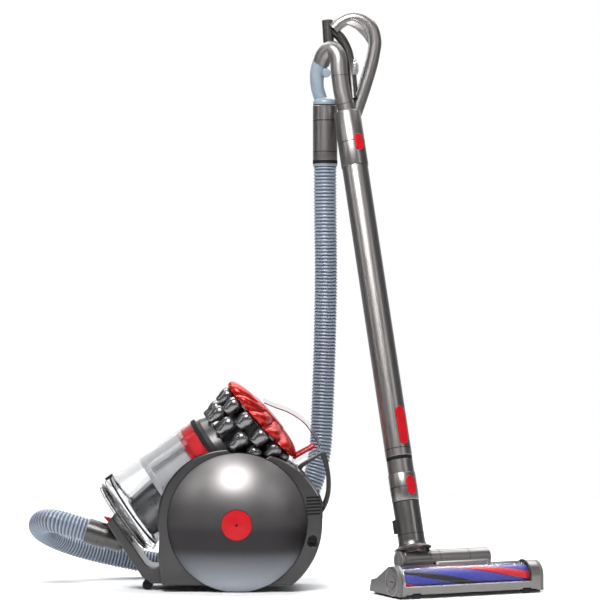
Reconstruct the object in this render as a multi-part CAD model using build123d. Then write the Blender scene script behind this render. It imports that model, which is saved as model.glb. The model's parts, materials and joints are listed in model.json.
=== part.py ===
from build123d import *
import math
import os

# Canister vacuum cleaner, millimetres, +Z up. The canister drives towards -X, so its left side is -Y.
# Everything is drawn about the ball's middle plane (Y = 0) with the floor at Z = 0, and saved
# moved by SHIFT, so that the origin is on the floor under the middle of the whole object.
SHIFT = Vector(-20.76, 21.75, 0)

WALL = 2.4            # usual thickness of a moulded wall
RUN = 0.05            # radial clearance of a running fit
GAP = 0.5             # space between separate bodies

# Ball and chassis
BALL = Vector(-110, 0, 122)
BALL_R = 122          # radius of a shell's rim, which rolls on the floor
RIM_Y = 75.6          # half distance between the two rims
HUB_Y = 128           # half width over the hubs
BAND_Y = 75           # half width of the chassis band
POD_R = 84            # drum inside each shell
POD_Y = 99
AXLE_R = 6
HUB_CAP_R = 27
MOTOR = Vector(-82, 0, 84)
MOTOR_R = 54
MOTOR_HALF = 52

# Bin: its axis rises to the rear in the middle plane
BIN_TILT = 35
BIN_BASE = Vector(-298, 0, 137)
BIN_R = 71
BIN_LEN = 175
BASE_DEPTH = 27
CYCLONE_TILT = 42
RIM_CENTRE = Vector(-73, 0, 297)   # middle of the cyclone cover's rim
COVER_R = 88
CYCLONES = 12

# Hose and its cuffs
HOSE_R = 21
CUFF_R = 22.5
INLET_TILT = 18       # the lower cuff points forward and this much up
INLET = Vector(-357, 0, 95)
CUFF_TOP = Vector(46, 126, 870)
CUFF_LEN = 109

# Wand: runs from the head's pitch axis up to the handle
WAND_FOOT = Vector(200, -95.2, 59)
WAND_HEAD = Vector(85, 100, 856)
WAND_R = 23.5
TUBE_BORE = 20

# Cleaner head, turned about Z
HEAD_YAW = 25
HEAD_CORNER = Vector(170, -192, 0)  # front left bottom corner
HEAD_LEN = 285
HEAD_DEPTH = 115
BRUSH_V = 27          # brush axis behind the front
BRUSH_Z = 28
SHROUD_R = 27
PITCH_V = 75          # pitch axis behind the front
PITCH_Z = 59


def direction(degrees):
    """Unit vector in the middle plane, rising from +X."""
    angle = math.radians(degrees)
    return Vector(math.cos(angle), 0, math.sin(angle))


BIN_FRAME = Plane(BIN_BASE, x_dir=direction(BIN_TILT + 90), z_dir=direction(BIN_TILT))
CYCLONE_FRAME = Plane(RIM_CENTRE, x_dir=direction(CYCLONE_TILT + 90), z_dir=direction(CYCLONE_TILT))
INLET_FRAME = Plane(INLET, x_dir=direction(90 - INLET_TILT), z_dir=direction(180 - INLET_TILT))
LEFT_FRAME = Plane(BALL, x_dir=(1, 0, 0), z_dir=(0, -1, 0))
RIGHT_FRAME = Plane(BALL, x_dir=(1, 0, 0), z_dir=(0, 1, 0))
HEAD_ALONG = Vector(math.cos(math.radians(HEAD_YAW)), math.sin(math.radians(HEAD_YAW)), 0)
HEAD_FRAME = Plane(HEAD_CORNER, x_dir=HEAD_ALONG, z_dir=(0, 0, 1))
WAND_DIR = (WAND_HEAD - WAND_FOOT).normalized()
WAND_FRAME = Plane(WAND_FOOT, x_dir=HEAD_ALONG.cross(WAND_DIR).cross(WAND_DIR) * -1, z_dir=WAND_DIR)

NODES = {}


def keep(name, shape):
    """Remember a finished node."""
    NODES[name] = shape


def put(shape, plane):
    """Move a shape drawn at the origin into a frame."""
    return plane.location * shape


def rod(radius, low, high):
    """Solid cylinder along Z between two heights."""
    return Pos(0, 0, (low + high) / 2) * Cylinder(radius, high - low)


def tube(outer, inner, low, high):
    """Hollow cylinder along Z between two heights."""
    return rod(outer, low, high) - rod(inner, low - 1, high + 1)


def block(x0, x1, y0, y1, z0, z1):
    """Box between two corners."""
    centre = Pos((x0 + x1) / 2, (y0 + y1) / 2, (z0 + z1) / 2)
    return centre * Box(x1 - x0, y1 - y0, z1 - z0)


def turned(*outline):
    """Solid of revolution about Z from a closed outline of (radius, height) corners."""
    face = make_face(Polyline(*outline, close=True))
    return revolve(Plane.XZ * face, Axis.Z)


def side_slab(face, low, high):
    """Extrude a face drawn in (X, Z) from Y = low to Y = high."""
    return Pos(0, high, 0) * extrude(Plane.XZ * face, high - low)


def along(start, end):
    """Frame with its origin at start and its Z towards end."""
    return Plane(start, z_dir=(end - start).normalized())


def bar(start, end, radius):
    """Round bar between two points."""
    return put(rod(radius, 0, (end - start).length), along(start, end))


def elbowed(points, radius):
    """Round bar through points, with a ball at each corner."""
    shape = bar(points[0], points[1], radius)
    for start, end in zip(points[1:], points[2:]):
        shape += bar(start, end, radius) + Pos(*start) * Sphere(radius)
    return shape


def corner_radii(points):
    """Largest tangent arc that each corner's two runs leave room for."""
    radii = []
    for before, here, after in zip(points, points[1:], points[2:]):
        turn = math.radians((here - before).get_angle(after - here))
        shorter = min((here - before).length, (after - here).length)
        radii.append(0.45 * shorter / math.tan(turn / 2))
    return radii


def swept(points, section):
    """Section swept along straight runs joined by tangent arcs."""
    path = FilletPolyline(*points, radius=corner_radii(points))
    start = Plane(path @ 0, z_dir=path % 0)
    return sweep(start * section, path=path)


# ---------------------------------------------------------------- ball


def shell_height(radius, bulge):
    """Height of a ball shell's surface above the middle plane."""
    sagitta = HUB_Y - RIM_Y
    curve = (BALL_R ** 2 + sagitta ** 2) / (2 * sagitta)
    return HUB_Y - curve + math.sqrt((curve - bulge) ** 2 - radius ** 2)


def ball_shell():
    """Domed wheel, with a seat for the hub cap and a boss that runs on the bearing."""
    seat = shell_height(HUB_CAP_R, 0) - 3
    outer_mid = (90, shell_height(90, 0))
    inner_rim = BALL_R - 3
    outline = [
        Line((BALL_R, RIM_Y), (BALL_R, RIM_Y + 0.01)),
        ThreePointArc((BALL_R, RIM_Y + 0.01), outer_mid, (HUB_CAP_R + 0.3, seat + 3)),
        Polyline((HUB_CAP_R + 0.3, seat + 3), (HUB_CAP_R + 0.3, seat), (11 + RUN, seat),
                 (11 + RUN, POD_Y + 3), (14, POD_Y + 3), (14, seat - WALL), (HUB_CAP_R, seat - WALL),
                 (HUB_CAP_R + 4, shell_height(HUB_CAP_R + 4, WALL))),
        ThreePointArc((HUB_CAP_R + 4, shell_height(HUB_CAP_R + 4, WALL)), (90, shell_height(90, WALL)),
                      (inner_rim, shell_height(inner_rim, WALL))),
        Polyline((inner_rim, shell_height(inner_rim, WALL)), (inner_rim, RIM_Y), (BALL_R, RIM_Y)),
    ]
    return revolve(Plane.XZ * make_face(outline), Axis.Z)


def hub_cap():
    """Slightly domed disc with a small centre hole."""
    seat = shell_height(HUB_CAP_R, 0) - 3
    top = HUB_Y
    edge = seat + 2.6
    outline = [
        Polyline((2, seat), (HUB_CAP_R, seat), (HUB_CAP_R, edge)),
        ThreePointArc((HUB_CAP_R, edge), (16, edge + 1.1), (2, top)),
        Line((2, top), (2, seat)),
    ]
    return revolve(Plane.XZ * make_face(outline), Axis.Z)


def build_ball():
    for side, frame in (("left", LEFT_FRAME), ("right", RIGHT_FRAME)):
        keep(side + "_ball_shell", put(ball_shell(), frame))
        keep(side + "_hub_cap", put(hub_cap(), frame))
    bearing = tube(11, AXLE_R, POD_Y + 4, POD_Y + 14)
    keep("wheel_bearings", Compound([put(bearing, LEFT_FRAME), put(bearing, RIGHT_FRAME)]))


# ---------------------------------------------------------------- chassis


def band_outline():
    """Side outline of the chassis band, in (X, Z)."""
    return make_face([
        Polyline((-14, 12), (-243, 12), (-249, 60), (-247, 100)),
        ThreePointArc((-247, 100), (-200, 226.5), (-110, 250)),
        ThreePointArc((-110, 250), (-22, 226), (39, 152)),
        Line((39, 152), (39, 112)),
        ThreePointArc((39, 112), (20, 50), (-14, 12)),
    ])


def bin_room(extra):
    """Space that the bin and cyclones need, open towards the way they lift off."""
    room = rod(72.2 + extra, -80, 209 + extra)
    room += block(0, 260, -72.2 - extra, 72.2 + extra, -80, 209 + extra)
    for start, radius in ((206, 83), (232, 93)):
        wide = radius + extra
        room += rod(wide, start - extra, 300) + block(0, 260, -wide, wide, start - extra, 300)
    return put(room, BIN_FRAME)


def exhaust_slits():
    """Row of level slits through the rear wall."""
    slits = None
    for step in range(7):
        height = 131 + 5.2 * step
        slit = block(20, 45, 8, 62, height, height + 2.2)
        slits = slit if slits is None else slits + slit
    return slits


def chassis_half(frame, low, high):
    """One hollow half of the band, its pod inside the ball shell and its stub axle."""
    outline = band_outline()
    half = side_slab(outline, low, high) - bin_room(0)
    inner_low = low + WALL if low < 0 else 0
    inner_high = high - WALL if high > 0 else 0
    inside = side_slab(offset(outline, -WALL), inner_low, inner_high)
    half -= inside - bin_room(WALL)
    pod = rod(POD_R, BAND_Y, POD_Y) - rod(POD_R - WALL, BAND_Y, POD_Y - WALL)
    stub = rod(AXLE_R, POD_Y, POD_Y + 15)
    half += put(pod + stub, frame)
    slits = exhaust_slits()
    half -= slits if high > 0 else mirror(slits, about=Plane.XZ)
    return half


def cord_outlet_plane():
    """Frame of the mains cord's outlet, in the left rear of the band."""
    return Plane((21.5, -BAND_Y, 88), z_dir=(0, -1, 0))


def button_frame(y):
    """Frame of a push button in the band's rear top."""
    out = direction(38)
    return Plane(BALL + out * 137.5 + Vector(0, y, 0), z_dir=out)


def build_chassis():
    left = chassis_half(LEFT_FRAME, -BAND_Y, 0)
    right = chassis_half(RIGHT_FRAME, 0, BAND_Y)
    outlet = cord_outlet_plane()
    left -= put(rod(7, -10, 10), outlet)
    left -= put(rod(11.3, -15, 20), button_frame(-45))
    right -= put(rod(11.3, -15, 20), button_frame(45))
    keep("chassis_left", left)
    keep("chassis_right", right)
    keep("cord_outlet", put(tube(7, 4.2, -6, 0) + tube(9, 4.2, -8, -WALL), outlet))
    button = rod(11, -6, 4.5) + rod(12.6, -9, -6)
    keep("power_button", put(button, button_frame(45)))
    keep("rewind_button", put(button, button_frame(-45)))


def build_motor():
    axis = Plane(MOTOR, z_dir=(0, 1, 0))
    housing = tube(MOTOR_R, MOTOR_R - 2.5, -MOTOR_HALF, MOTOR_HALF)
    for low in (-MOTOR_HALF, MOTOR_HALF - 3):
        housing += tube(MOTOR_R - 1, 4 + RUN, low, low + 3)
    feet = block(-40, 40, -30, 30, 14.4, 40) - Pos(0, 0, MOTOR.Z) * Rot(90, 0, 0) * Cylinder(MOTOR_R - 1, 200)
    keep("motor_housing", put(housing, axis) + Pos(MOTOR.X, 0, 0) * feet)
    rotor = rod(4, -MOTOR_HALF - 2, MOTOR_HALF + 2) + rod(24, -30, 18) + rod(38, 28, 42)
    keep("motor_rotor", put(rotor, axis))
    reel = tube(30, 12, BAND_Y + 3.4, POD_Y - 3.4)
    for low in (BAND_Y + 3.4, POD_Y - 5.4):
        reel += tube(78, 12, low, low + 2)
    keep("cord_reel", put(reel, LEFT_FRAME))
    keep("post_motor_filter", put(tube(78, 40, BAND_Y + 4, POD_Y - 4), RIGHT_FRAME))


# ---------------------------------------------------------------- cradle and inlet

ARM_OUT = -47         # faces of the cradle's arm, along the bin axis
ARM_IN = -31
INLET_X = -26.6       # centre of the inlet, across the bin axis
CASTOR = Vector(-270, 0, 9)
CASTOR_Y = 30


def bin_point(x, t):
    """(X, Z) of a point given across and along the bin axis in the middle plane."""
    place = BIN_FRAME.from_local_coords(Vector(x, 0, t))
    return (place.X, place.Z)


def elbow_points():
    knee = INLET + direction(-INLET_TILT) * 32.6
    return [INLET + direction(180 - INLET_TILT) * 18, knee, knee + direction(BIN_TILT) * 23]


def build_cradle():
    side = make_face([
        Polyline((-243, 12), (-262, 12), (-279, 24), bin_point(9, ARM_OUT), bin_point(14, ARM_IN),
                 bin_point(-88, ARM_IN)),
        ThreePointArc(bin_point(-88, ARM_IN), (-262, 41), (-247, 44)),
        Line((-247, 44), (-243, 12)),
    ])
    cradle = side_slab(side, -46, 46)
    groove = make_face(Polyline(bin_point(12, ARM_OUT + 4), bin_point(12, ARM_IN - 4),
                                bin_point(-74, ARM_IN - 4), bin_point(-74, ARM_OUT + 4), close=True))
    cradle -= side_slab(groove, -41, 41) - put(Pos(INLET_X, 0, 0) * rod(24, -60, -20), BIN_FRAME)
    cradle -= elbowed(elbow_points(), 19.7)
    for y in (-CASTOR_Y, CASTOR_Y):
        cradle -= Pos(CASTOR.X, y, CASTOR.Z) * Rot(90, 0, 0) * Cylinder(11, 11)
        cradle -= Pos(CASTOR.X, y, CASTOR.Z) * Rot(90, 0, 0) * Cylinder(2.5 + RUN, 19)
    catch_pocket = make_face(Polyline(bin_point(30, -60), bin_point(30, -20), bin_point(1, -20),
                                      bin_point(1, -60), close=True))
    cradle -= side_slab(catch_pocket, -11, 11)
    keep("front_cradle", cradle)
    catch = make_face(Polyline(bin_point(4, ARM_OUT + 1), bin_point(22, ARM_OUT - 1),
                               bin_point(4, ARM_IN - 1), close=True))
    keep("cradle_catch", side_slab(catch, -10, 10))
    wheel = Rot(90, 0, 0) * (Cylinder(9, 9) + Cylinder(2.5, 18))
    keep("front_castor_wheels", Compound([Pos(CASTOR.X, y, CASTOR.Z) * wheel
                                          for y in (-CASTOR_Y, CASTOR_Y)]))


def build_inlet():
    points = elbow_points()
    elbow = elbowed(points, 19.5) - elbowed(points, 17.2)
    elbow -= put(rod(17.2, 10, 20), INLET_FRAME)
    elbow -= put(rod(17.2, 20, 30), along(points[1], points[2]))
    collar = tube(CUFF_R, 18.5, -14, -GAP)
    keep("inlet_elbow", elbow + put(collar, INLET_FRAME))
    cuff = tube(CUFF_R, 19.5 + RUN, 0, 18.5) + tube(CUFF_R, 17.2, 18.5, 24)
    keep("hose_cuff_lower", put(cuff, INLET_FRAME))


# ---------------------------------------------------------------- bin


def build_bin():
    place = BIN_FRAME
    keep("bin_wall", put(tube(BIN_R, BIN_R - 2.4, 2, BIN_LEN), place))
    base = turned((0, -BASE_DEPTH), (BIN_R - 16, -BASE_DEPTH), (BIN_R - 2, -BASE_DEPTH + 12), (BIN_R, 0),
                  (BIN_R - 3, 0), (BIN_R - 5, -BASE_DEPTH + 13), (BIN_R - 17, -BASE_DEPTH + 2.5),
                  (0, -BASE_DEPTH + 2.5))
    port = Pos(INLET_X, 0, 0) * rod(16, -40, -10)
    base -= port
    base += Pos(INLET_X, 0, 0) * tube(18.5, 16, -BASE_DEPTH, 0)
    knuckle = Pos(-74, 0, -6) * Rot(90, 0, 0) * (Cylinder(4.5, 60) - Cylinder(2, 80))
    base += knuckle + block(-74, -68, -30, 30, -6, 0) - Pos(-74, 0, -6) * Rot(90, 0, 0) * Cylinder(2, 80)
    keep("bin_base", put(base, place))
    keep("base_seal", put(tube(BIN_R - 0.5, 60, 0, 2), place))
    keep("base_hinge_pin", put(Pos(-74, 0, -6) * Rot(90, 0, 0) * Cylinder(2, 66), place))
    keep("base_catch", put(block(BIN_R, BIN_R + 5, -9, 9, -7, 7), place))
    shroud = tube(51, 49, 62, 142) + tube(53, 49, 62, 72)
    keep("shroud", put(shroud, place))
    cone = turned((0, 4), (38, 4), (46, 61.5), (43.8, 61.5), (36, 6.5), (0, 6.5))
    keep("dust_collector", put(Pos(-17, 0, 0) * cone, place))
    ring = turned((49, 142.2), (56, 142.2), (56, 152), (68.2, 152), (68.2, 174), (64, 174), (64, 155),
                  (49, 155))
    keep("red_ring", put(ring, place))
    keep("top_seal", put(tube(BIN_R + 0.6, 62, 175, 182), place))


def lobe_ring(radius, count, shape, turn=0):
    """Copies of a shape spaced evenly round Z."""
    copies = []
    for index in range(count):
        copies.append(Rot(0, 0, turn + 360 * index / count) * Pos(radius, 0, 0) * shape)
    return copies


def small_cyclone(top_radius, tip_radius, length):
    """Closed tapered cyclone with a rounded tip."""
    return Cone(tip_radius, top_radius, length) + Pos(0, 0, -length / 2) * Sphere(tip_radius)


def build_cyclones():
    collar = put(turned((46, 182), (66, 182), (66, 190), (61, 205), (46, 205)), BIN_FRAME)
    core = turned((34, -70), (48, -70), (48, -31), (58, -31), (58, -4), (34, -4))
    core = put(core, CYCLONE_FRAME) - put(rod(44, 150, 190), BIN_FRAME)
    keep("cyclone_core", collar + core)
    keep("pre_motor_filter", put(tube(30, 14, -66, -8), CYCLONE_FRAME))
    lower = lobe_ring(62.8, CYCLONES, small_cyclone(13.6, 8, 20))
    lower = [put(Pos(0, 0, -43) * item, CYCLONE_FRAME) for item in lower]
    upper = lobe_ring(73.2, CYCLONES, small_cyclone(14, 10.5, 20), 180 / CYCLONES)
    upper = [put(Pos(0, 0, -13) * item, CYCLONE_FRAME) for item in upper]
    keep("cyclones_lower", Compound(lower))
    keep("cyclones_upper", Compound(upper))


def dome(rim, base, crown):
    """Cap of a sphere on a flat base: rim radius, height of its base, height of its crown."""
    rise = crown - base
    radius = (rim ** 2 + rise ** 2) / (2 * rise)
    return (Pos(0, 0, crown - radius) * Sphere(radius)) & rod(rim + 5, base, crown + 5)


def cover_solid(margin):
    """Outside of the cyclone cover: a dome on a scalloped disc, one lobe over each upper cyclone."""
    disc = Circle(COVER_R - 11 + margin)
    for lobe in lobe_ring(COVER_R - 17, CYCLONES, Circle(17 + margin), 180 / CYCLONES):
        disc += lobe
    return extrude(disc, 11 + margin) + dome(COVER_R - 15, 10.5 + margin, 33 + margin)


def build_cover():
    inside = rod(COVER_R - 28, -1, 11) + dome(COVER_R - 28, 10.9, 29)
    keep("cyclone_cover", put(cover_solid(0) - inside, CYCLONE_FRAME))


HANDLE_ARCH = [(-66, 335), (-45, 326.5), (-18, 316), (8, 298), (27, 271), (36, 255)]
LEVER_START = (-10, 233)
LEVER_END = (27, 254.5)


def strip(points, thickness, low, high):
    """Flat band that follows a smooth curve drawn in (X, Z)."""
    line = Spline(*points)
    half = thickness / 2
    count = 12
    upper = [line.position_at(i / count) + normal_at(line, i / count) * half for i in range(count + 1)]
    lower = [line.position_at(i / count) - normal_at(line, i / count) * half for i in range(count + 1)]
    face = make_face([Spline(*upper), Line(upper[-1], lower[-1]), Spline(*lower), Line(lower[0], upper[0])])
    return side_slab(face, low, high)


def normal_at(line, share):
    """Unit vector square to a curve drawn in a plane."""
    tangent = line.tangent_at(share)
    return Vector(-tangent.Y, tangent.X, 0)


def build_handle():
    arch = strip(HANDLE_ARCH, 6, -12, 12)
    rail = make_face(Polyline((-11, 226), (-9, 222), (38, 248), (36, 254), (33.5, 256.5), (29.5, 249), close=True))
    handle = arch + side_slab(rail, -12, 12)
    handle -= put(cover_solid(0), CYCLONE_FRAME)
    ears = block(-15, -7, 7, 12, 224, 237) + block(-15, -7, -12, -7, 224, 237)
    pivot = Pos(-11, 0, 233) * Rot(90, 0, 0)
    ears -= pivot * Cylinder(2 + RUN, 40)
    ears -= put(cover_solid(0), CYCLONE_FRAME)
    keep("carry_handle", handle + ears)
    lever = make_face(Polyline((-13, 230.5), (-9, 229.5), (27, 250.4), (25.5, 256), (-11, 236), close=True))
    lever = side_slab(lever, -6.5, 6.5) - put(cover_solid(0.4), CYCLONE_FRAME)
    keep("bin_release", lever + pivot * Cylinder(2, 23))
    spine = make_face([
        Spline((46, 243), (53, 210), (55, 183), (51, 156), (39, 133)),
        Line((39, 133), (38.9, 150)),
        Spline((38.9, 150), (45, 165), (47, 186), (45, 210), (36, 236)),
        Polyline((36, 236), (6, 216), (0, 206.5), (-8, 214), (2, 222), (38, 244), (46, 243)),
    ])
    keep("rear_spine", side_slab(spine, -15, 15) - side_slab(band_outline(), -20, 20))


# ---------------------------------------------------------------- hose

HOSE_POINTS = [
    (-380.2, 0, 102.5), (-425, 0, 117.1), (-460, 28, 119), (-474, 75, 102), (-452, 120, 80),
    (-408, 147, 60), (-345, 165, 42), (-245, 177, 21.6), (-151.3, 178, 21.6), (-64.9, 178, 57.4),
    (1.2, 177, 123.5), (37, 175.5, 209.9), (42, 172, 320), (46, 162, 440), (48, 143, 570),
    (46, 126, 675), (46, 126, 760.5),
]


def build_hose():
    points = [Vector(*point) for point in HOSE_POINTS]
    hose = swept(points, Circle(HOSE_R))
    keep("hose", hose)
    for point, radius in zip(HOSE_POINTS[1:], corner_radii(points)):
        print("hose bend at", point, "radius", round(radius))
    length = hose.volume / (math.pi * HOSE_R ** 2)
    path = FilletPolyline(*points, radius=corner_radii(points))
    print("hose length", round(path.length), "by volume", round(length))


def build_hose_end():
    low = CUFF_TOP.Z - CUFF_LEN
    at = Pos(CUFF_TOP.X, CUFF_TOP.Y, 0)
    top = CUFF_TOP.Z
    cuff = tube(CUFF_R, 18.5 + RUN, low + 20, top) + tube(CUFF_R, 16, low, low + 20)
    keep("hose_cuff_upper", at * cuff)
    spigot = tube(18.5, 16, low + 20 + GAP, top + 2)
    ring = tube(21, 15, top + GAP, top + 14)
    start = Vector(CUFF_TOP.X, CUFF_TOP.Y, top + 14)
    bends = [start - Vector(0, 0, 4), start + Vector(-9, 0, 14), start + Vector(-13, 0, 38), DUCT[-1]]
    elbow = elbowed(bends, 14.1) - elbowed(bends, 12)
    elbow -= at * rod(12, top, top + 16)
    boss = Pos(47, DUCT[-1].Y - 2, 928) * Rot(90, 0, 0) * Cylinder(9, 26)
    elbow = elbow + (boss - elbowed(bends, 12.5)) - NODES["handle_duct"]
    keep("swivel_elbow", at * (spigot + ring) + elbow)


# ---------------------------------------------------------------- grip

DUCT = [WAND_HEAD, Vector(74, 103, 900), Vector(71, 106, 952), Vector(66, 110, 970), Vector(54, 117, 972),
        Vector(44, 124, 961), Vector(38, 128, 946)]
GRIP_Y = 124
GRIP = [(106, 866), (122, 914), (134, 956), (138, 987), (131, 1013), (114, 1028), (94, 1031), (73, 1021),
        (59, 1008)]


def build_grip():
    duct = elbowed(DUCT, 15.5) - elbowed(DUCT, 14.15)
    end = along(DUCT[-2], DUCT[-1])
    duct -= put(rod(14.15, 10, 40), end)
    start = along(DUCT[0], DUCT[1])
    duct -= put(rod(14.15, -20, 10), start)
    keep("handle_duct", duct)
    points = [Vector(x, GRIP_Y, z) for x, z in GRIP]
    loop = swept(points, Circle(11))
    left_end = Pos(54, GRIP_Y, 999) * Cylinder(9.5, 34)
    arm_points = [Vector(60, 131, 1003), Vector(74, 132, 992), Vector(88, 131, 965), Vector(94, 128, 925),
                  Vector(98, 118, 880)]
    arm = elbowed(arm_points, 8.5)
    plate = make_face(Polyline((60, 1012), (72, 1023), (92, 1030), (112, 1022), (122, 1000), (121, 993),
                               (88, 1012), (72, 1004), close=True))
    grip = loop + left_end + arm + side_slab(plate, GRIP_Y - 8, GRIP_Y + 8)
    trigger_room = block(103.6, 108.6, GRIP_Y - 6, GRIP_Y + 6, 926, 952)
    grip -= trigger_room
    keep("grip_loop", grip - elbowed(DUCT, 15.5) - put(rod(WAND_R + 1, 700, 829), WAND_FRAME))
    trigger = block(97, 103, GRIP_Y - 5, GRIP_Y + 5, 925, 953)
    keep("handle_trigger", trigger - elbowed(arm_points, 8.5 + GAP) - loop)


# ---------------------------------------------------------------- wand

STEP_D = 178          # lower end of the outer tube, along the wand
NECK_TOP = 103
TUBE_TOP = (WAND_HEAD - WAND_FOOT).length
BUTTON_TURN = -84     # the buttons face this far round the wand from the head's length
BUTTON_FRAME = Plane(WAND_FRAME.location * Rot(0, 0, BUTTON_TURN))


def side_button(low, high, out, width):
    """Push button between two heights on the wand, standing out to a radius."""
    face = SlotOverall(high - low, width)
    base = Plane((TUBE_BORE - 2, 0, (low + high) / 2), x_dir=(0, 0, 1), z_dir=(1, 0, 0))
    return base * extrude(face, out - TUBE_BORE + 2)


def build_wand():
    outer = tube(WAND_R, TUBE_BORE, STEP_D + 6, TUBE_TOP - 106)
    outer += tube(WAND_R - 0.8, TUBE_BORE, STEP_D, STEP_D + 6)
    outer += tube(WAND_R + 1, TUBE_BORE, TUBE_TOP - 106, TUBE_TOP - 3)
    outer += tube(WAND_R - 2, 15.6, TUBE_TOP - 3, TUBE_TOP)
    duct_bore = elbowed(DUCT[:2], 15.5)
    buttons = {
        "wand_button": (TUBE_TOP - 82, TUBE_TOP - 50, WAND_R + 3),
        "telescope_catch": (203, 271, WAND_R + 3),
        "head_button": (112, 146, WAND_R + 2.6),
    }
    inner = tube(WAND_R - 0.5, TUBE_BORE - 2.5, NECK_TOP + GAP, STEP_D - GAP)
    inner += tube(TUBE_BORE - RUN, TUBE_BORE - 2.4, NECK_TOP + GAP, 560)
    inner += tube(WAND_R + 0.6, TUBE_BORE, NECK_TOP + 2, NECK_TOP + 50)
    for name, (low, high, out) in buttons.items():
        button = side_button(low, high, out, 16)
        room = side_button(low - GAP, high + GAP, out + 1, 16 + 2 * GAP)
        room -= rod(TUBE_BORE + 0.4, low - 5, high + 5)
        button -= rod(WAND_R - 1.4, low - 5, high + 5)
        room = Rot(0, 0, BUTTON_TURN) * room
        if name == "head_button":
            inner -= room
        else:
            outer -= room
        keep(name, put(button, BUTTON_FRAME))
    keep("wand_outer", put(outer, WAND_FRAME) - duct_bore)
    keep("wand_inner", put(inner, WAND_FRAME))


# ---------------------------------------------------------------- cleaner head


def build_neck():
    neck = tube(WAND_R, 17, 12, NECK_TOP) + tube(TUBE_BORE - 2.5 - RUN, 15.5, NECK_TOP - 4, 111)
    neck = put(neck, WAND_FRAME)
    pivot = Plane(WAND_FOOT, x_dir=(0, 0, 1), z_dir=HEAD_ALONG)
    neck += put(rod(19.5, -26, 26), pivot)
    neck -= put(rod(17 + GAP, -30, 30), pivot)
    neck -= put(rod(15.5, 5, 60), WAND_FRAME)
    keep("neck", neck)
    clip = block(-WAND_R - 6, -WAND_R + 1, -6, 6, 48, 72) - rod(WAND_R, 0, 100)
    keep("wand_clip", put(clip, WAND_FRAME))


def along_head(radius, low, high, v, z):
    """Round bar along the head between two distances from its left end."""
    return Pos((low + high) / 2, v, z) * Rot(0, 90, 0) * Cylinder(radius, high - low)


def head_side(inset):
    """Side outline of the head body, in (V, Z)."""
    r = SHROUD_R - inset
    return make_face([
        Polyline((BRUSH_V, BRUSH_Z + r), (BRUSH_V + 16, BRUSH_Z + r - 2), (88, 29.5 - inset),
                 (HEAD_DEPTH - 6 - inset, 25 - inset), (HEAD_DEPTH - inset, 8), (HEAD_DEPTH - inset, 4),
                 (BRUSH_V - r, 4), (BRUSH_V - r, BRUSH_Z)),
        ThreePointArc((BRUSH_V - r, BRUSH_Z), (BRUSH_V - r * 0.7071, BRUSH_Z + r * 0.7071),
                      (BRUSH_V, BRUSH_Z + r)),
    ])


def head_slab(face, low, high):
    """Extrude a face drawn in (V, Z) along the head."""
    return Pos(low, 0, 0) * extrude(Plane.YZ * face, high - low)


HEAD_FIT = 0.2        # end caps stand this far off the body's ends
ROLLER_U = 34         # rollers and rear wheels from the head's ends
FRONT_ROLLER = (4, 4.6)
REAR_WHEEL = (102, 9)
TURBINE_LOW = 36
TURBINE_HIGH = 212
WINDOW_LOW = 12       # the window over the brush, from the head's left end
WINDOW_HIGH = HEAD_LEN - 26


def build_head():
    """Hollow body open underneath, with the window's opening and the saddle of the pitch cylinder."""
    cap = 6
    body = head_slab(head_side(0), cap + HEAD_FIT, HEAD_LEN - cap - HEAD_FIT)
    body -= head_slab(head_side(WALL), cap + 3, HEAD_LEN - cap - 3) - block(0, HEAD_LEN, 56, 59, 0, 60)
    body -= block(14, HEAD_LEN - 14, -2, 54, 3, 6.6)
    body -= block(WINDOW_LOW, WINDOW_HIGH, -5, 43, 20, 60)
    saddle = block(TURBINE_LOW, TURBINE_HIGH, PITCH_V - 11, PITCH_V + 11, 36, 52)
    body += saddle - along_head(17.2, 0, HEAD_LEN, PITCH_V, PITCH_Z)
    neck_u = WAND_FOOT.sub(HEAD_CORNER).dot(HEAD_ALONG)
    body -= block(neck_u - 30, neck_u + 30, PITCH_V - 26, PITCH_V + 26, 33, 60)
    roof = head_slab(head_side(0), neck_u - 32, neck_u + 32) - head_slab(head_side(WALL), 0, HEAD_LEN)
    body += roof & block(0, HEAD_LEN, PITCH_V - 27, PITCH_V + 27, 10, 60)
    body -= along_head(4, 5, HEAD_LEN - 5, BRUSH_V, BRUSH_Z)
    for (v, z), radius in ((FRONT_ROLLER, 6), (REAR_WHEEL, 10)):
        for u in (ROLLER_U, HEAD_LEN - ROLLER_U):
            body -= along_head(radius, u - 8, u + 8, v, z)
            body -= along_head(2 + RUN, u - 12, u + 12, v, z)
    keep("head_body", put(body, HEAD_FRAME))


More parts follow.
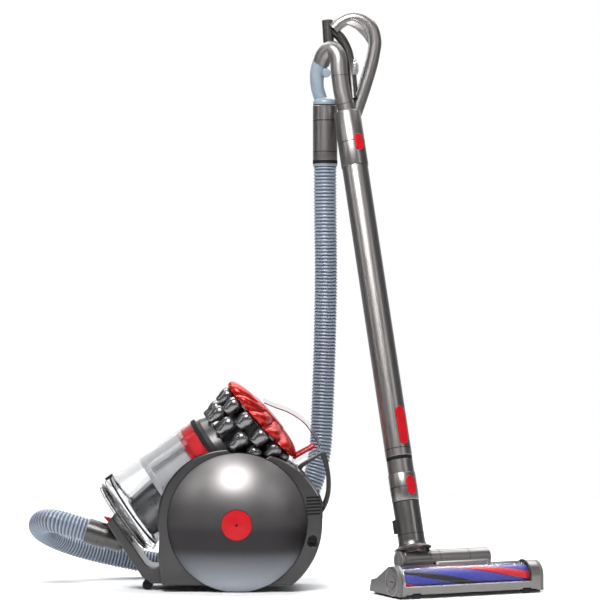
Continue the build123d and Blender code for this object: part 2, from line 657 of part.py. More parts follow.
def build_head_fittings():
    """Window, brush bar, turbine, end caps, coin lock, sole plate, rollers and wheels."""
    place = HEAD_FRAME
    cap = 6
    window_zone = block(WINDOW_LOW + 0.2, WINDOW_HIGH - 0.2, -5, 42.8, 20.2, 60)
    window = head_slab(head_side(0), WINDOW_LOW, WINDOW_HIGH) - head_slab(head_side(2), 0, HEAD_LEN)
    window &= window_zone
    keep("brush_window", put(window, place))
    brush = along_head(22, 12, HEAD_LEN - 12, BRUSH_V, BRUSH_Z)
    brush += along_head(3, 2.5, HEAD_LEN - 2.5, BRUSH_V, BRUSH_Z)
    keep("brush_bar", put(brush, place))
    journal = along_head(3 + RUN, 2, HEAD_LEN - 2, BRUSH_V, BRUSH_Z)
    ends = head_side(0)
    left = head_slab(ends, 0, cap) - journal
    lock_at = Pos(0, BRUSH_V, BRUSH_Z) * Rot(0, 90, 0)
    left -= lock_at * rod(10 + RUN, -1, 1.6)
    keep("left_end_cap", put(left, place))
    lock = lock_at * rod(10, -1.2, 1.6) - Pos(-1.2, BRUSH_V, BRUSH_Z) * Box(1.6, 14, 2)
    keep("coin_lock", put(lock, place))
    keep("right_end_cap", put(head_slab(ends, HEAD_LEN - cap, HEAD_LEN) - journal, place))
    outer = along_head(17, TURBINE_LOW, TURBINE_HIGH, PITCH_V, PITCH_Z)
    inner = along_head(14.6, TURBINE_LOW + 3, TURBINE_HIGH - 3, PITCH_V, PITCH_Z)
    neck_u = WAND_FOOT.sub(HEAD_CORNER).dot(HEAD_ALONG)
    duct = block(neck_u - 11, neck_u + 11, PITCH_V - 9, PITCH_V + 13, PITCH_Z, PITCH_Z + 30)
    shaft_hole = along_head(2 + RUN, TURBINE_HIGH - 40, TURBINE_HIGH - 2, PITCH_V, PITCH_Z)
    rib = along_head(15, TURBINE_HIGH - 52, TURBINE_HIGH - 49, PITCH_V, PITCH_Z)
    rib -= along_head(2 + RUN, 0, HEAD_LEN, PITCH_V, PITCH_Z)
    keep("turbine_housing", put(outer - inner - duct - shaft_hole + rib, place))
    wheel = along_head(13.4, TURBINE_HIGH - 42, TURBINE_HIGH - 12, PITCH_V, PITCH_Z)
    wheel += along_head(2, TURBINE_HIGH - 54, TURBINE_HIGH - 2.5, PITCH_V, PITCH_Z)
    keep("turbine_wheel", put(wheel, place))
    sole = block(8, HEAD_LEN - 8, 8, HEAD_DEPTH - 5, 1, 4) - block(14, HEAD_LEN - 14, 14, 52, 0, 5)
    rollers = {"front_rollers": (FRONT_ROLLER, 4.6), "rear_wheels": (REAR_WHEEL, 9)}
    for name, ((v, z), radius) in rollers.items():
        pair = []
        for u in (ROLLER_U, HEAD_LEN - ROLLER_U):
            pin = along_head(2, u - 11, u + 11, v, z)
            pair.append(put(along_head(radius, u - 7, u + 7, v, z) + pin, place))
            sole -= block(u - 12, u + 12, v - radius - 2, v + radius + 2, 0, 5)
        keep(name, Compound(pair))
    keep("sole_plate", put(sole, place))


def write_nodes():
    os.makedirs("parts", exist_ok=True)
    for name, shape in NODES.items():
        export_step(Pos(*SHIFT) * shape, "parts/" + name + ".step")


build_ball()
build_chassis()
build_motor()
build_cradle()
build_inlet()
build_bin()
build_cyclones()
build_cover()
build_handle()
build_hose()
build_grip()
build_hose_end()
build_wand()
build_neck()
build_head()
build_head_fittings()
write_nodes()
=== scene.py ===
import json
import math

import bmesh
import bpy
from mathutils import Matrix, Vector


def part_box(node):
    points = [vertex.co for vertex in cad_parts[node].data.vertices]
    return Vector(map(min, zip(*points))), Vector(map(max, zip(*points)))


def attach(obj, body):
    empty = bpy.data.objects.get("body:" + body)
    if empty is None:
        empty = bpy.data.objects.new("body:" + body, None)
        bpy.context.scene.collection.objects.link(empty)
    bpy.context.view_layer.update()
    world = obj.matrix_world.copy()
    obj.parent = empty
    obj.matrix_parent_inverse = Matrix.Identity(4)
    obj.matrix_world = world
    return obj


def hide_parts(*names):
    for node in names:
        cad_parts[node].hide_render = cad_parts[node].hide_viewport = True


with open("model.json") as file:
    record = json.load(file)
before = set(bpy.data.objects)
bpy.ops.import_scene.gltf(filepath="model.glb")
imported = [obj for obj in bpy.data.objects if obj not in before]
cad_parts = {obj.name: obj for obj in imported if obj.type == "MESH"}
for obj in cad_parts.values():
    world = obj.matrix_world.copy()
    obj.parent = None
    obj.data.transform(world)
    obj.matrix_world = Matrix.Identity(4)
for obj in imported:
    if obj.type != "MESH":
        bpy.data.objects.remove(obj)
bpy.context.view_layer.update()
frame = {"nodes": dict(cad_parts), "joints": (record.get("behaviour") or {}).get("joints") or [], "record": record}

JOINTS = {joint["name"]: joint for joint in frame["joints"]}
NODES = frame["nodes"]
UP = Vector((0, 0, 1))
MM = 0.001
ON_AXIS = 1e-4          # a radius below this lies on the axis


# ---------------- places read from the frame


def pose_frame(origin, z_axis, x_axis):
    """Matrix whose Z runs along z_axis and whose X lies towards x_axis."""
    z = Vector(z_axis).normalized()
    x = Vector(x_axis)
    x = (x - z * x.dot(z)).normalized()
    y = z.cross(x)
    matrix = Matrix((x, y, z)).transposed().to_4x4()
    matrix.translation = Vector(origin)
    return matrix


def joint_pos(name):
    return Vector(JOINTS[name]["pos_m"])


def joint_axis(name):
    return Vector(JOINTS[name]["axis"])


BALL = joint_pos("left_wheel_spin")
LIFT = joint_axis("bin_lift")
BIN_AXIS = Vector((LIFT.z, 0, -LIFT.x))
WAND_FOOT = joint_pos("neck_pitch")
WAND_DIR = -joint_axis("telescope_slide")
HEAD_ALONG = joint_axis("neck_pitch")
HEAD_BACK = UP.cross(HEAD_ALONG)
BRUSH = joint_pos("brush_spin")

LEFT_SIDE = pose_frame(BALL, (0, -1, 0), (1, 0, 0))
RIGHT_SIDE = pose_frame(BALL, (0, 1, 0), (1, 0, 0))
WAND = pose_frame(WAND_FOOT, WAND_DIR, -joint_axis("wand_button_press"))
BRUSH_BACK = 27         # the brush's axis behind the head's front, and above the floor, in millimetres
BRUSH_HIGH = 28
HEAD = pose_frame(BRUSH - HEAD_BACK * BRUSH_BACK * MM - UP * BRUSH_HIGH * MM, UP, HEAD_ALONG)


def bin_frame():
    """Frame of the bin: Z along its axis from the base seal, X towards the side that lifts."""
    low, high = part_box("base_hinge_pin")
    pin = (low + high) / 2
    origin = pin + LIFT * 74 * MM + BIN_AXIS * 6 * MM
    origin.y = BALL.y
    return pose_frame(origin, BIN_AXIS, LIFT)


BIN = bin_frame()
CYCLONE_TILT = math.radians(7)     # the cyclones lean this much more than the bin
CYCLONE_ALONG = 276.1 * MM         # middle of the cover's rim along the bin's axis
CYCLONE = (BIN @ Matrix.Translation((1.9 * MM, 0, CYCLONE_ALONG))
           @ Matrix.Rotation(CYCLONE_TILT, 4, "Y"))


# ---------------- mesh tools


def new_object(name, mesh, material):
    piece = bpy.data.objects.new(name, mesh)
    bpy.context.scene.collection.objects.link(piece)
    if material:
        mesh.materials.append(material)
    return piece


def finish_mesh(name, bm, material, angle=35):
    """Clean a bmesh, orient and shade it, and make it an object."""
    bmesh.ops.remove_doubles(bm, verts=bm.verts, dist=2e-6)
    bmesh.ops.recalc_face_normals(bm, faces=bm.faces)
    mesh = bpy.data.meshes.new(name)
    bm.to_mesh(mesh)
    bm.free()
    mesh.shade_smooth()
    mesh.set_sharp_from_angle(angle=math.radians(angle))
    return new_object(name, mesh, material)


def rounded(points, radius, steps=4):
    """Closed outline with each corner rounded, radius in the outline's units."""
    count = len(points)
    result = []
    for index in range(count):
        here = Vector(points[index])
        before = Vector(points[index - 1])
        after = Vector(points[(index + 1) % count])
        reach = min(radius, (here - before).length * 0.45, (here - after).length * 0.45)
        start = here + (before - here).normalized() * reach
        end = here + (after - here).normalized() * reach
        for step in range(steps + 1):
            t = step / steps
            result.append(start * (1 - t) ** 2 + here * 2 * t * (1 - t) + end * t ** 2)
    return result


def curve_points(points, per):
    """Smooth open curve through points, with per steps between each two."""
    pts = [Vector(p) for p in points]
    count = len(pts)
    result = []
    for i in range(count - 1):
        p1 = pts[i]
        p2 = pts[i + 1]
        p0 = pts[i - 1] if i > 0 else p1 * 2 - p2
        p3 = pts[i + 2] if i + 2 < count else p2 * 2 - p1
        for step in range(per):
            t = step / per
            a = p1 * 2
            b = p2 - p0
            c = p0 * 2 - p1 * 5 + p2 * 4 - p3
            d = p1 * 3 - p0 - p2 * 3 + p3
            result.append((a + b * t + c * t * t + d * t ** 3) * 0.5)
    result.append(pts[-1])
    return result


def surface_quad(bm, uv, verts, arc, run):
    """Face laid out by its metres round the surface (arc) and along it (run)."""
    face = bm.faces.new(verts)
    corners = ((arc[0], run[0]), (arc[1], run[0]), (arc[1], run[1]), (arc[0], run[1]))
    for loop, corner in zip(face.loops, corners):
        loop[uv].uv = corner


def lathe(name, outline, matrix, material, steps=96, angle=35):
    """Solid of revolution from a closed outline of (radius, height) in millimetres."""
    bm = bmesh.new()
    uv = bm.loops.layers.uv.new("UVMap")
    lengths = [0.0]
    for a, b in zip(outline, outline[1:]):
        lengths.append(lengths[-1] + (Vector(b) - Vector(a)).length * MM)
    lengths.append(lengths[-1] + (Vector(outline[0]) - Vector(outline[-1])).length * MM)
    widest = max(point[0] for point in outline) * MM
    rings = []
    for step in range(steps):
        theta = 2 * math.pi * step / steps
        ring = []
        for r, z in outline:
            at = Vector((r * math.cos(theta), r * math.sin(theta), z)) * MM
            ring.append(bm.verts.new(matrix @ at))
        rings.append(ring)
    count = len(outline)
    for step in range(steps):
        ring, following = rings[step], rings[(step + 1) % steps]
        arc = (2 * math.pi * widest * step / steps, 2 * math.pi * widest * (step + 1) / steps)
        for i in range(count):
            j = (i + 1) % count
            if outline[i][0] < ON_AXIS and outline[j][0] < ON_AXIS:
                continue
            surface_quad(bm, uv, (ring[i], following[i], following[j], ring[j]), arc, lengths[i:i + 2])
    bmesh.ops.dissolve_degenerate(bm, dist=1e-7, edges=bm.edges)
    return finish_mesh(name, bm, material, angle)


def tube_along(name, path, radii, material, steps=32, side=UP, angle=40):
    """Closed tube along points, in metres. radii is one radius or one per point."""
    pts = [Vector(p) for p in path]
    count = len(pts)
    if isinstance(radii, (int, float)):
        radii = [radii] * count
    bm = bmesh.new()
    uv = bm.loops.layers.uv.new("UVMap")
    rings = []
    lengths = [0.0]
    normal = None
    for i, here in enumerate(pts):
        tangent = (pts[min(i + 1, count - 1)] - pts[max(i - 1, 0)]).normalized()
        if normal is None:
            normal = side - tangent * side.dot(tangent)
            if normal.length < 0.1:
                normal = tangent.orthogonal()
        normal = (normal - tangent * normal.dot(tangent)).normalized()
        across = tangent.cross(normal)
        if i:
            lengths.append(lengths[-1] + (here - pts[i - 1]).length)
        ring = []
        for step in range(steps):
            theta = 2 * math.pi * step / steps
            offset = normal * math.cos(theta) + across * math.sin(theta)
            ring.append(bm.verts.new(here + offset * radii[i]))
        rings.append(ring)
    widest = max(radii)
    for i in range(count - 1):
        for step in range(steps):
            k = (step + 1) % steps
            arc = (2 * math.pi * widest * step / steps, 2 * math.pi * widest * (step + 1) / steps)
            verts = (rings[i][step], rings[i][k], rings[i + 1][k], rings[i + 1][step])
            surface_quad(bm, uv, verts, arc, lengths[i:i + 2])
    bm.faces.new(list(reversed(rings[0])))
    bm.faces.new(rings[-1])
    return finish_mesh(name, bm, material, angle)


def bevel(piece, width, clamp=True):
    """Rounded edges, kept as a modifier."""
    mod = piece.modifiers.new("Bevel", "BEVEL")
    mod.width = width
    mod.segments = 3
    mod.limit_method = "ANGLE"
    mod.angle_limit = math.radians(40)
    mod.use_clamp_overlap = clamp
    mod.harden_normals = False
    return piece


def prism(name, outline, matrix, low, high, material, round_edge):
    """Flat outline in the frame's XY, extruded along its Z between two heights, with rounded edges."""
    bm = bmesh.new()
    bottom = [bm.verts.new(matrix @ (Vector((p[0], p[1], low)) * MM)) for p in outline]
    top = [bm.verts.new(matrix @ (Vector((p[0], p[1], high)) * MM)) for p in outline]
    count = len(outline)
    bm.faces.new(list(reversed(bottom)))
    bm.faces.new(top)
    for i in range(count):
        j = (i + 1) % count
        bm.faces.new((bottom[i], bottom[j], top[j], top[i]))
    piece = finish_mesh(name, bm, material, 30)
    if round_edge:
        bevel(piece, round_edge * MM)
    return piece


def join(name, pieces):
    """One object from several, with their modifiers applied."""
    bm = bmesh.new()
    materials = []
    for piece in pieces:
        deps = bpy.context.evaluated_depsgraph_get()
        mesh = bpy.data.meshes.new_from_object(piece.evaluated_get(deps))
        start = len(bm.faces)
        bm.from_mesh(mesh)
        bm.faces.ensure_lookup_table()
        slots = []
        for material in mesh.materials:
            if material not in materials:
                materials.append(material)
            slots.append(materials.index(material))
        for face in bm.faces[start:]:
            face.material_index = slots[face.material_index] if slots else 0
        bpy.data.meshes.remove(mesh)
        bpy.data.objects.remove(piece)
    mesh = bpy.data.meshes.new(name)
    bm.to_mesh(mesh)
    bm.free()
    whole = bpy.data.objects.new(name, mesh)
    bpy.context.scene.collection.objects.link(whole)
    for material in materials:
        mesh.materials.append(material)
    mesh.set_sharp_from_angle(angle=math.radians(35))
    return whole


def place(piece, body, node=None, slot=None):
    """Put a piece on its body, in place of a CAD node where it stands for one."""
    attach(piece, body)
    if node:
        names = node if isinstance(node, (list, tuple)) else [node]
        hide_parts(*names)
    return piece


# ---------------- materials

RIB = 6.2 * MM       # the hose's rib pitch


class Shader:
    """Small helper that builds a node tree round one Principled shader."""

    def __init__(self, name, color, metallic=0.0, roughness=0.4, coat=0.0, coat_roughness=0.05, ior=1.5):
        self.material = bpy.data.materials.new(name)
        self.material.use_nodes = True
        self.tree = self.material.node_tree
        self.bsdf = self.tree.nodes["Principled BSDF"]
        self.bsdf.inputs["Base Color"].default_value = (*color, 1)
        self.bsdf.inputs["Metallic"].default_value = metallic
        self.bsdf.inputs["Roughness"].default_value = roughness
        self.bsdf.inputs["Coat Weight"].default_value = coat
        self.bsdf.inputs["Coat Roughness"].default_value = coat_roughness
        self.bsdf.inputs["IOR"].default_value = ior
        self.material.diffuse_color = (*color, 1)
        self.coords = self.tree.nodes.new("ShaderNodeTexCoord")
        self.height = None

    def node(self, kind, **values):
        made = self.tree.nodes.new(kind)
        for key, value in values.items():
            if hasattr(made, key):
                setattr(made, key, value)
            else:
                made.inputs[key.replace("_", " ")].default_value = value
        return made

    def link(self, source, target):
        self.tree.links.new(source, target)

    def mapped(self, scale=(1, 1, 1), space="Object"):
        mapping = self.node("ShaderNodeMapping")
        mapping.inputs["Scale"].default_value = scale
        self.link(self.coords.outputs[space], mapping.inputs["Vector"])
        return mapping.outputs["Vector"]

    def noise(self, size, detail=3.0, roughness=0.55, stretch=(1, 1, 1), space="Object"):
        """Noise whose features are about size metres across."""
        texture = self.node("ShaderNodeTexNoise", Scale=1.0, Detail=detail, Roughness=roughness)
        scale = tuple(s / size for s in stretch)
        self.link(self.mapped(scale, space), texture.inputs["Vector"])
        return texture.outputs["Fac"]

    def remap(self, value, low, high, start=0.3, end=0.7):
        ramp = self.node("ShaderNodeMapRange")
        ramp.inputs["From Min"].default_value = start
        ramp.inputs["From Max"].default_value = end
        ramp.inputs["To Min"].default_value = low
        ramp.inputs["To Max"].default_value = high
        self.link(value, ramp.inputs["Value"])
        return ramp.outputs["Result"]

    def math(self, operation, a, b=0.5):
        made = self.node("ShaderNodeMath", operation=operation)
        for index, value in enumerate((a, b)):
            if isinstance(value, (int, float)):
                made.inputs[index].default_value = value
            else:
                self.link(value, made.inputs[index])
        return made.outputs["Value"]

    def color(self, value, stops):
        """Colour ramp from a value to the base colour."""
        ramp = self.node("ShaderNodeValToRGB")
        elements = ramp.color_ramp.elements
        while len(elements) < len(stops):
            elements.new(0.5)
        for element, (place, tint) in zip(elements, stops):
            element.position = place
            element.color = (*tint, 1)
        self.link(value, ramp.inputs["Fac"])
        self.link(ramp.outputs["Color"], self.bsdf.inputs["Base Color"])
        return ramp.outputs["Color"]

    def rough(self, value, low, high, start=0.3, end=0.7):
        self.link(self.remap(value, low, high, start, end), self.bsdf.inputs["Roughness"])

    def bump(self, value, strength, distance):
        bump = self.node("ShaderNodeBump", Strength=strength, Distance=distance)
        self.link(value, bump.inputs["Height"])
        if self.height:
            self.link(self.height, bump.inputs["Normal"])
        self.link(bump.outputs["Normal"], self.bsdf.inputs["Normal"])
        self.height = bump.outputs["Normal"]


def shade(color, factor):
    return tuple(min(channel * factor, 1) for channel in color)


def satin(name, color, metallic=0.75, roughness=0.32, coat=0.0, flake=0.1, grain=0.00035):
    """Metallic-painted plastic: fine flake in the colour, faint orange peel, uneven sheen."""
    s = Shader(name, color, metallic, roughness, coat, 0.08)
    flakes = s.noise(grain, 2.0, 0.6)
    s.color(flakes, [(0.3, shade(color, 1 - flake)), (0.7, shade(color, 1 + flake))])
    patches = s.noise(0.045, 4.0, 0.6)
    s.rough(patches, roughness * 0.88, roughness * 1.18)
    s.bump(s.noise(0.0022, 2.0), 0.012, 0.0002)
    s.bump(flakes, 0.01, 0.00004)
    return s.material


def ball_paint_painted_reflection(name, color, dark, pale):
    """Ball paint: satin nickel that deepens below the ball's waist and pales towards its foot, keyed to the
    surface's world-space facing: the dark band is a painted reflection of the dark studio and the pale foot is a
    painted reflection of the floor.
    """
    s = Shader(name, color, 0.8, 0.4, 0.0)
    split = s.node("ShaderNodeSeparateXYZ")
    geometry = s.node("ShaderNodeNewGeometry")
    s.link(geometry.outputs["Normal"], split.inputs["Vector"])
    flakes = s.noise(0.00035, 2.0, 0.6)
    height = s.math("ADD", s.math("MULTIPLY", split.outputs["Z"], 0.5), s.remap(flakes, 0.47, 0.53))
    # painted reflection: a dark band just below the waist and a pale floor reflection near the foot
    s.color(height, [(0.1, pale), (0.22, shade(pale, 0.6)), (0.36, dark), (0.46, dark), (0.7, color)])
    s.rough(s.noise(0.045, 4.0, 0.6), 0.37, 0.45)
    s.bump(s.noise(0.0022, 2.0), 0.025, 0.0002)
    return s.material


def moulded(name, color, roughness=0.5, texture=0.0009, depth=0.12, coat=0.0, ior=1.5):
    """Moulded plastic with a spark-eroded grain."""
    s = Shader(name, color, 0.0, roughness, coat, 0.12, ior)
    grain = s.noise(texture, 3.0, 0.6)
    s.color(s.noise(0.02, 4.0), [(0.3, shade(color, 0.9)), (0.7, shade(color, 1.12))])
    s.rough(grain, roughness * 0.85, roughness * 1.15)
    s.bump(grain, depth, 0.00012)
    return s.material


def brushed(name, color, roughness=0.26, metallic=0.95):
    """Drawn and anodised tube: fine streaks along its length."""
    s = Shader(name, color, metallic, roughness)
    streaks = s.noise(0.0011, 4.0, 0.65, (1, 0.02, 1), "UV")
    s.color(streaks, [(0.25, shade(color, 0.9)), (0.75, shade(color, 1.1))])
    s.rough(streaks, roughness * 0.85, roughness * 1.2)
    s.bump(streaks, 0.005, 0.00006)
    s.bump(s.noise(0.0004, 2.0), 0.006, 0.00004)
    return s.material


def clear(name, color, roughness=0.03, alpha=0.5, ior=1.32):
    """Clear polycarbonate with faint moulding haze and hairline scratches."""
    s = Shader(name, color, 0.0, roughness, 0.0, 0.03, ior)
    s.bsdf.inputs["Transmission Weight"].default_value = 1.0
    haze = s.noise(0.03, 3.0)
    s.rough(haze, roughness, roughness * 2.2)
    s.color(haze, [(0.3, shade(color, 0.985)), (0.7, color)])
    scratches = s.noise(0.0007, 2.0, 0.5, (1, 0.05, 1))
    s.bump(scratches, 0.02, 0.00004)
    s.bsdf.inputs["Alpha"].default_value = alpha
    return s.material


def rubber(name, color, roughness=0.62):
    """Soft rubber with a fine matt skin."""
    s = Shader(name, color, 0.0, roughness, ior=1.22)
    skin = s.noise(0.0006, 4.0, 0.7)
    s.color(s.noise(0.012, 3.0), [(0.3, shade(color, 0.85)), (0.7, shade(color, 1.2))])
    s.rough(skin, roughness * 0.88, roughness * 1.12)
    s.bump(skin, 0.2, 0.0001)
    return s.material


def hose_painted_shade_and_highlight(name, color):
    """Ribbed hose: painted shade darkens its folds and a painted highlight lightens its crests; a little dust in
    its uneven roughness.
    """
    s = Shader(name, color, 0.25, 0.38)
    split = s.node("ShaderNodeSeparateXYZ")
    s.link(s.coords.outputs["UV"], split.inputs["Vector"])
    wave = s.math("COSINE", s.math("MULTIPLY", split.outputs["Y"], 2 * math.pi / RIB))
    # painted shade in the folds, painted highlight on the crests
    stops = [(0.1, shade(color, 0.4)), (0.6, color), (1.0, shade(color, 1.35))]
    s.color(s.remap(wave, 0.0, 1.0, -1.0, 1.0), stops)
    s.rough(s.noise(0.004, 3.0), 0.3, 0.46)
    s.bump(s.noise(0.0008, 3.0), 0.12, 0.0001)
    return s.material


def perforated(name, color, pitch):
    """Sheet with rows of fine holes, laid out on the surface's own length and breadth."""
    s = Shader(name, color, 0.55, 0.38)
    split = s.node("ShaderNodeSeparateXYZ")
    s.link(s.coords.outputs["UV"], split.inputs["Vector"])
    around = s.math("MULTIPLY", split.outputs["X"], 2 * math.pi / pitch)
    down = s.math("MULTIPLY", split.outputs["Y"], 2 * math.pi / pitch)
    holes = s.math("MULTIPLY", s.math("SINE", around), s.math("SINE", down))
    depth = s.remap(holes, 0.0, 1.0, 0.25, 0.55)
    s.color(depth, [(0.0, color), (0.45, color), (0.6, shade(color, 0.18)), (1.0, shade(color, 0.05))])
    s.bump(s.math("SUBTRACT", 1.0, depth), 0.5, 0.0003)
    return s.material


def pleated(name, color, pitch):
    """Filter felt in pleats, each fold darkened as painted shade."""
    s = Shader(name, color, 0.0, 0.85)
    split = s.node("ShaderNodeSeparateXYZ")
    s.link(s.coords.outputs["Object"], split.inputs["Vector"])
    wave = s.math("SINE", s.math("MULTIPLY", split.outputs["X"], 2 * math.pi / pitch))
    # painted shade darkens the pleat folds
    s.color(wave, [(0.0, shade(color, 0.6)), (1.0, color)])
    s.bump(wave, 0.6, 0.001)
    s.bump(s.noise(0.0008, 5.0, 0.7), 0.3, 0.0002)
    return s.material


def filaments(name, color, roughness=0.55, spread=0.35):
    """Packed brush filaments: fine strands with dark gaps."""
    s = Shader(name, color, 0.0, roughness)
    strands = s.noise(0.0005, 3.0, 0.7, (1, 1, 1))
    clumps = s.noise(0.006, 3.0, 0.6)
    both = s.math("MULTIPLY", s.math("ADD", strands, clumps), 0.5)
    s.color(both, [(0.3, shade(color, 1 - spread)), (0.7, shade(color, 1 + spread))])
    s.bump(strands, 0.6, 0.0004)
    s.bsdf.inputs["Sheen Weight"].default_value = 0.3
    return s.material


MAT = {
    # ball paint with painted reflection: a dark band and a pale floor reflection painted into its colour
    "ball": ball_paint_painted_reflection("ball_nickel_painted_reflection", (0.24, 0.228, 0.228), (0.03, 0.0275, 0.029), (0.5, 0.53, 0.58)),
    "band": satin("band_iron", (0.058, 0.055, 0.056), 0.62, 0.33, 0.15),
    "nickel": satin("nickel_paint", (0.25, 0.237, 0.231), 0.85, 0.36, 0.06),
    "iron": satin("iron_paint", (0.19, 0.186, 0.19), 0.85, 0.25, 0.15),
    "dark": moulded("dark_moulding", (0.018, 0.018, 0.02), 0.4, ior=1.35),
    "grey": moulded("grey_moulding", (0.12, 0.116, 0.115), 0.38),
    "black": rubber("black_rubber", (0.01, 0.01, 0.011)),
    "red": moulded("red_moulding", (0.45, 0.002, 0.008), 0.42, 0.0012, 0.05, 0.0, 1.36),
    "red_cover": satin("red_cover_paint", (0.4, 0.005, 0.003), 0.4, 0.27, 0.1, 0.08),
    "clear": clear("clear_polycarbonate", (0.97, 0.975, 0.985)),
    "window": clear("window_polycarbonate", (0.98, 0.98, 0.985), 0.05, 0.2, 1.18),
    "smoke": clear("smoke_polycarbonate", (0.72, 0.73, 0.75), 0.02),
    "deep_red": moulded("deep_red_moulding", (0.2, 0.004, 0.01), 0.3),
    "shroud": perforated("shroud_mesh", (0.5, 0.5, 0.52), 0.0022),
    "silver": satin("silver_paint", (0.45, 0.45, 0.46), 0.75, 0.26, 0.2),
    "steel": brushed("ground_steel", (0.5, 0.5, 0.5), 0.25),
    "tube": brushed("anodised_tube", (0.27, 0.256, 0.249), 0.35),
    "collar": satin("collar_nickel", (0.19, 0.18, 0.175), 0.88, 0.3, 0.05),
    # darker copy of the nickel: painted shade on the grip's rear arm, elsewhere the darker nickel finish
    "dark_nickel_and_painted_shade": satin("dark_nickel_and_painted_shade", (0.09, 0.086, 0.084), 0.85, 0.32, 0.1),
    "collector": satin("collector_paint", (0.11, 0.11, 0.115), 0.8, 0.28, 0.2),
    "hose": hose_painted_shade_and_highlight("hose_painted_shade_and_highlight", (0.2, 0.235, 0.29)),
    "pale": moulded("pale_blue_moulding", (0.2, 0.245, 0.295), 0.36, 0.0012, 0.05, 0.1),
    "filter": pleated("filter_felt", (0.62, 0.6, 0.57), 0.004),
    "purple": filaments("purple_filaments", (0.04, 0.042, 0.3)),
    "red_filaments": filaments("red_filaments", (0.55, 0.008, 0.014), 0.45, 0.25),
    "carbon": filaments("carbon_filaments", (0.01, 0.01, 0.012), 0.4, 0.5),
    "tyre": rubber("hard_tyre", (0.02, 0.02, 0.022), 0.5),
}

SLOT_LOOK = {
    "ball_shell": "ball", "nickel": "nickel", "dark": "dark", "iron": "band", "red": "red",
    "cover_red": "red_cover", "clear": "clear", "seal": "black", "steel": "steel", "shroud": "shroud",
    "hose": "hose", "pale": "pale", "tube": "tube", "filter": "filter", "brush": "purple", "tyre": "tyre",
}


def dress_cad_nodes():
    """Give every CAD node the material of its record slot."""
    slots = {part["node"]: part["material_slot"] for part in frame["record"]["subparts"]}
    for name, piece in NODES.items():
        look = MAT[SLOT_LOOK[slots[name]]]
        if piece.material_slots:
            for slot in piece.material_slots:
                slot.material = look
        else:
            piece.data.materials.append(look)


dress_cad_nodes()


# ---------------- camera, light and floor


CAMERA_AT = (-0.02076, -4.67825, 0.513)
LENS = 158.16
STAGE_RADIUS = 2.2
DARK_SIDE = (0.07, 0.073, 0.08)      # the studio behind the camera, which the metals reflect


def build_camera():
    data = bpy.data.cameras.new("camera")
    data.sensor_width = 36
    data.lens = LENS
    data.clip_end = 30
    camera = bpy.data.objects.new("camera", data)
    camera.location = CAMERA_AT
    camera.rotation_euler = (math.pi / 2, 0, 0)
    scene = bpy.context.scene
    scene.collection.objects.link(camera)
    scene.camera = camera
    scene.render.resolution_x = 600
    scene.render.resolution_y = 600
    scene.view_settings.view_transform = "Standard"


def area_light(name, at, target, size, power):
    data = bpy.data.lights.new(name, "AREA")
    data.shape = "RECTANGLE"
    data.size, data.size_y = size
    data.energy = power
    light = bpy.data.objects.new(name, data)
    light.location = at
    light.rotation_euler = (Vector(target) - Vector(at)).to_track_quat("-Z", "Y").to_euler()
    bpy.context.scene.collection.objects.link(light)


def build_stage():
    bm = bmesh.new()
    bmesh.ops.create_circle(bm, cap_ends=True, segments=96, radius=STAGE_RADIUS)
    s = Shader("stage_paper", (0.9, 0.905, 0.915), 0.0, 0.6)
    grain = s.noise(0.004, 3.0)
    s.color(grain, [(0.3, (0.895, 0.9, 0.91)), (0.7, (0.905, 0.91, 0.92))])
    s.bump(grain, 0.02, 0.0002)
    floor = finish_mesh("stage", bm, s.material)

    world = bpy.data.worlds.new("studio")
    bpy.context.scene.world = world
    world.use_nodes = True
    tree = world.node_tree
    coords = tree.nodes.new("ShaderNodeTexCoord")
    split = tree.nodes.new("ShaderNodeSeparateXYZ")
    ramp = tree.nodes.new("ShaderNodeValToRGB")
    elements = ramp.color_ramp.elements
    stops = [(0.0, DARK_SIDE), (0.7, DARK_SIDE), (0.9, (0.5, 0.51, 0.53)), (0.96, (1.0, 1.0, 1.0))]
    while len(elements) < len(stops):
        elements.new(0.5)
    for element, (place_at, tint) in zip(elements, stops):
        element.position = place_at
        element.color = (*tint, 1)
    half = tree.nodes.new("ShaderNodeMapRange")
    half.inputs["From Min"].default_value = -1
    tree.links.new(coords.outputs["Generated"], split.inputs["Vector"])
    tree.links.new(split.outputs["Y"], half.inputs["Value"])
    tree.links.new(half.outputs["Result"], ramp.inputs["Fac"])
    background = tree.nodes["Background"]
    tree.links.new(ramp.outputs["Color"], background.inputs["Color"])
    background.inputs["Strength"].default_value = 1.0

    area_light("key", (-0.3, -1.4, 2.0), (-0.05, -0.02, 0.25), (1.1, 0.9), 62)
    area_light("strip_left", (-2.2, -0.9, 1.6), (0.05, 0, 0.6), (0.3, 1.3), 6)
    area_light("strip_right", (2.1, -1.9, 1.55), (0.15, 0, 0.6), (0.4, 1.3), 8)
    area_light("rear", (0.3, 1.9, 1.9), (0, 0, 0.45), (1.6, 0.9), 12)
    area_light("floor_wash", (0, 1.2, 2.8), (0, 1.2, 0), (3.8, 2.2), 125)


build_camera()
build_stage()


# ---------------- hose

HOSE_ROUTE = [
    (-0.40096, 0.02175, 0.1025), (-0.44576, 0.02175, 0.1171), (-0.48076, 0.04975, 0.119),
    (-0.49476, 0.09675, 0.102), (-0.47276, 0.14175, 0.08), (-0.42876, 0.16875, 0.06),
    (-0.36576, 0.18675, 0.042), (-0.26576, 0.19875, 0.0216), (-0.17206, 0.19975, 0.0216),
    (-0.08566, 0.19975, 0.0574), (-0.01956, 0.19875, 0.1235), (0.01624, 0.19725, 0.2099),
    (0.02124, 0.19375, 0.32), (0.02524, 0.18375, 0.44), (0.02724, 0.16475, 0.57),
    (0.02524, 0.14775, 0.675), (0.02524, 0.14775, 0.7605),
]


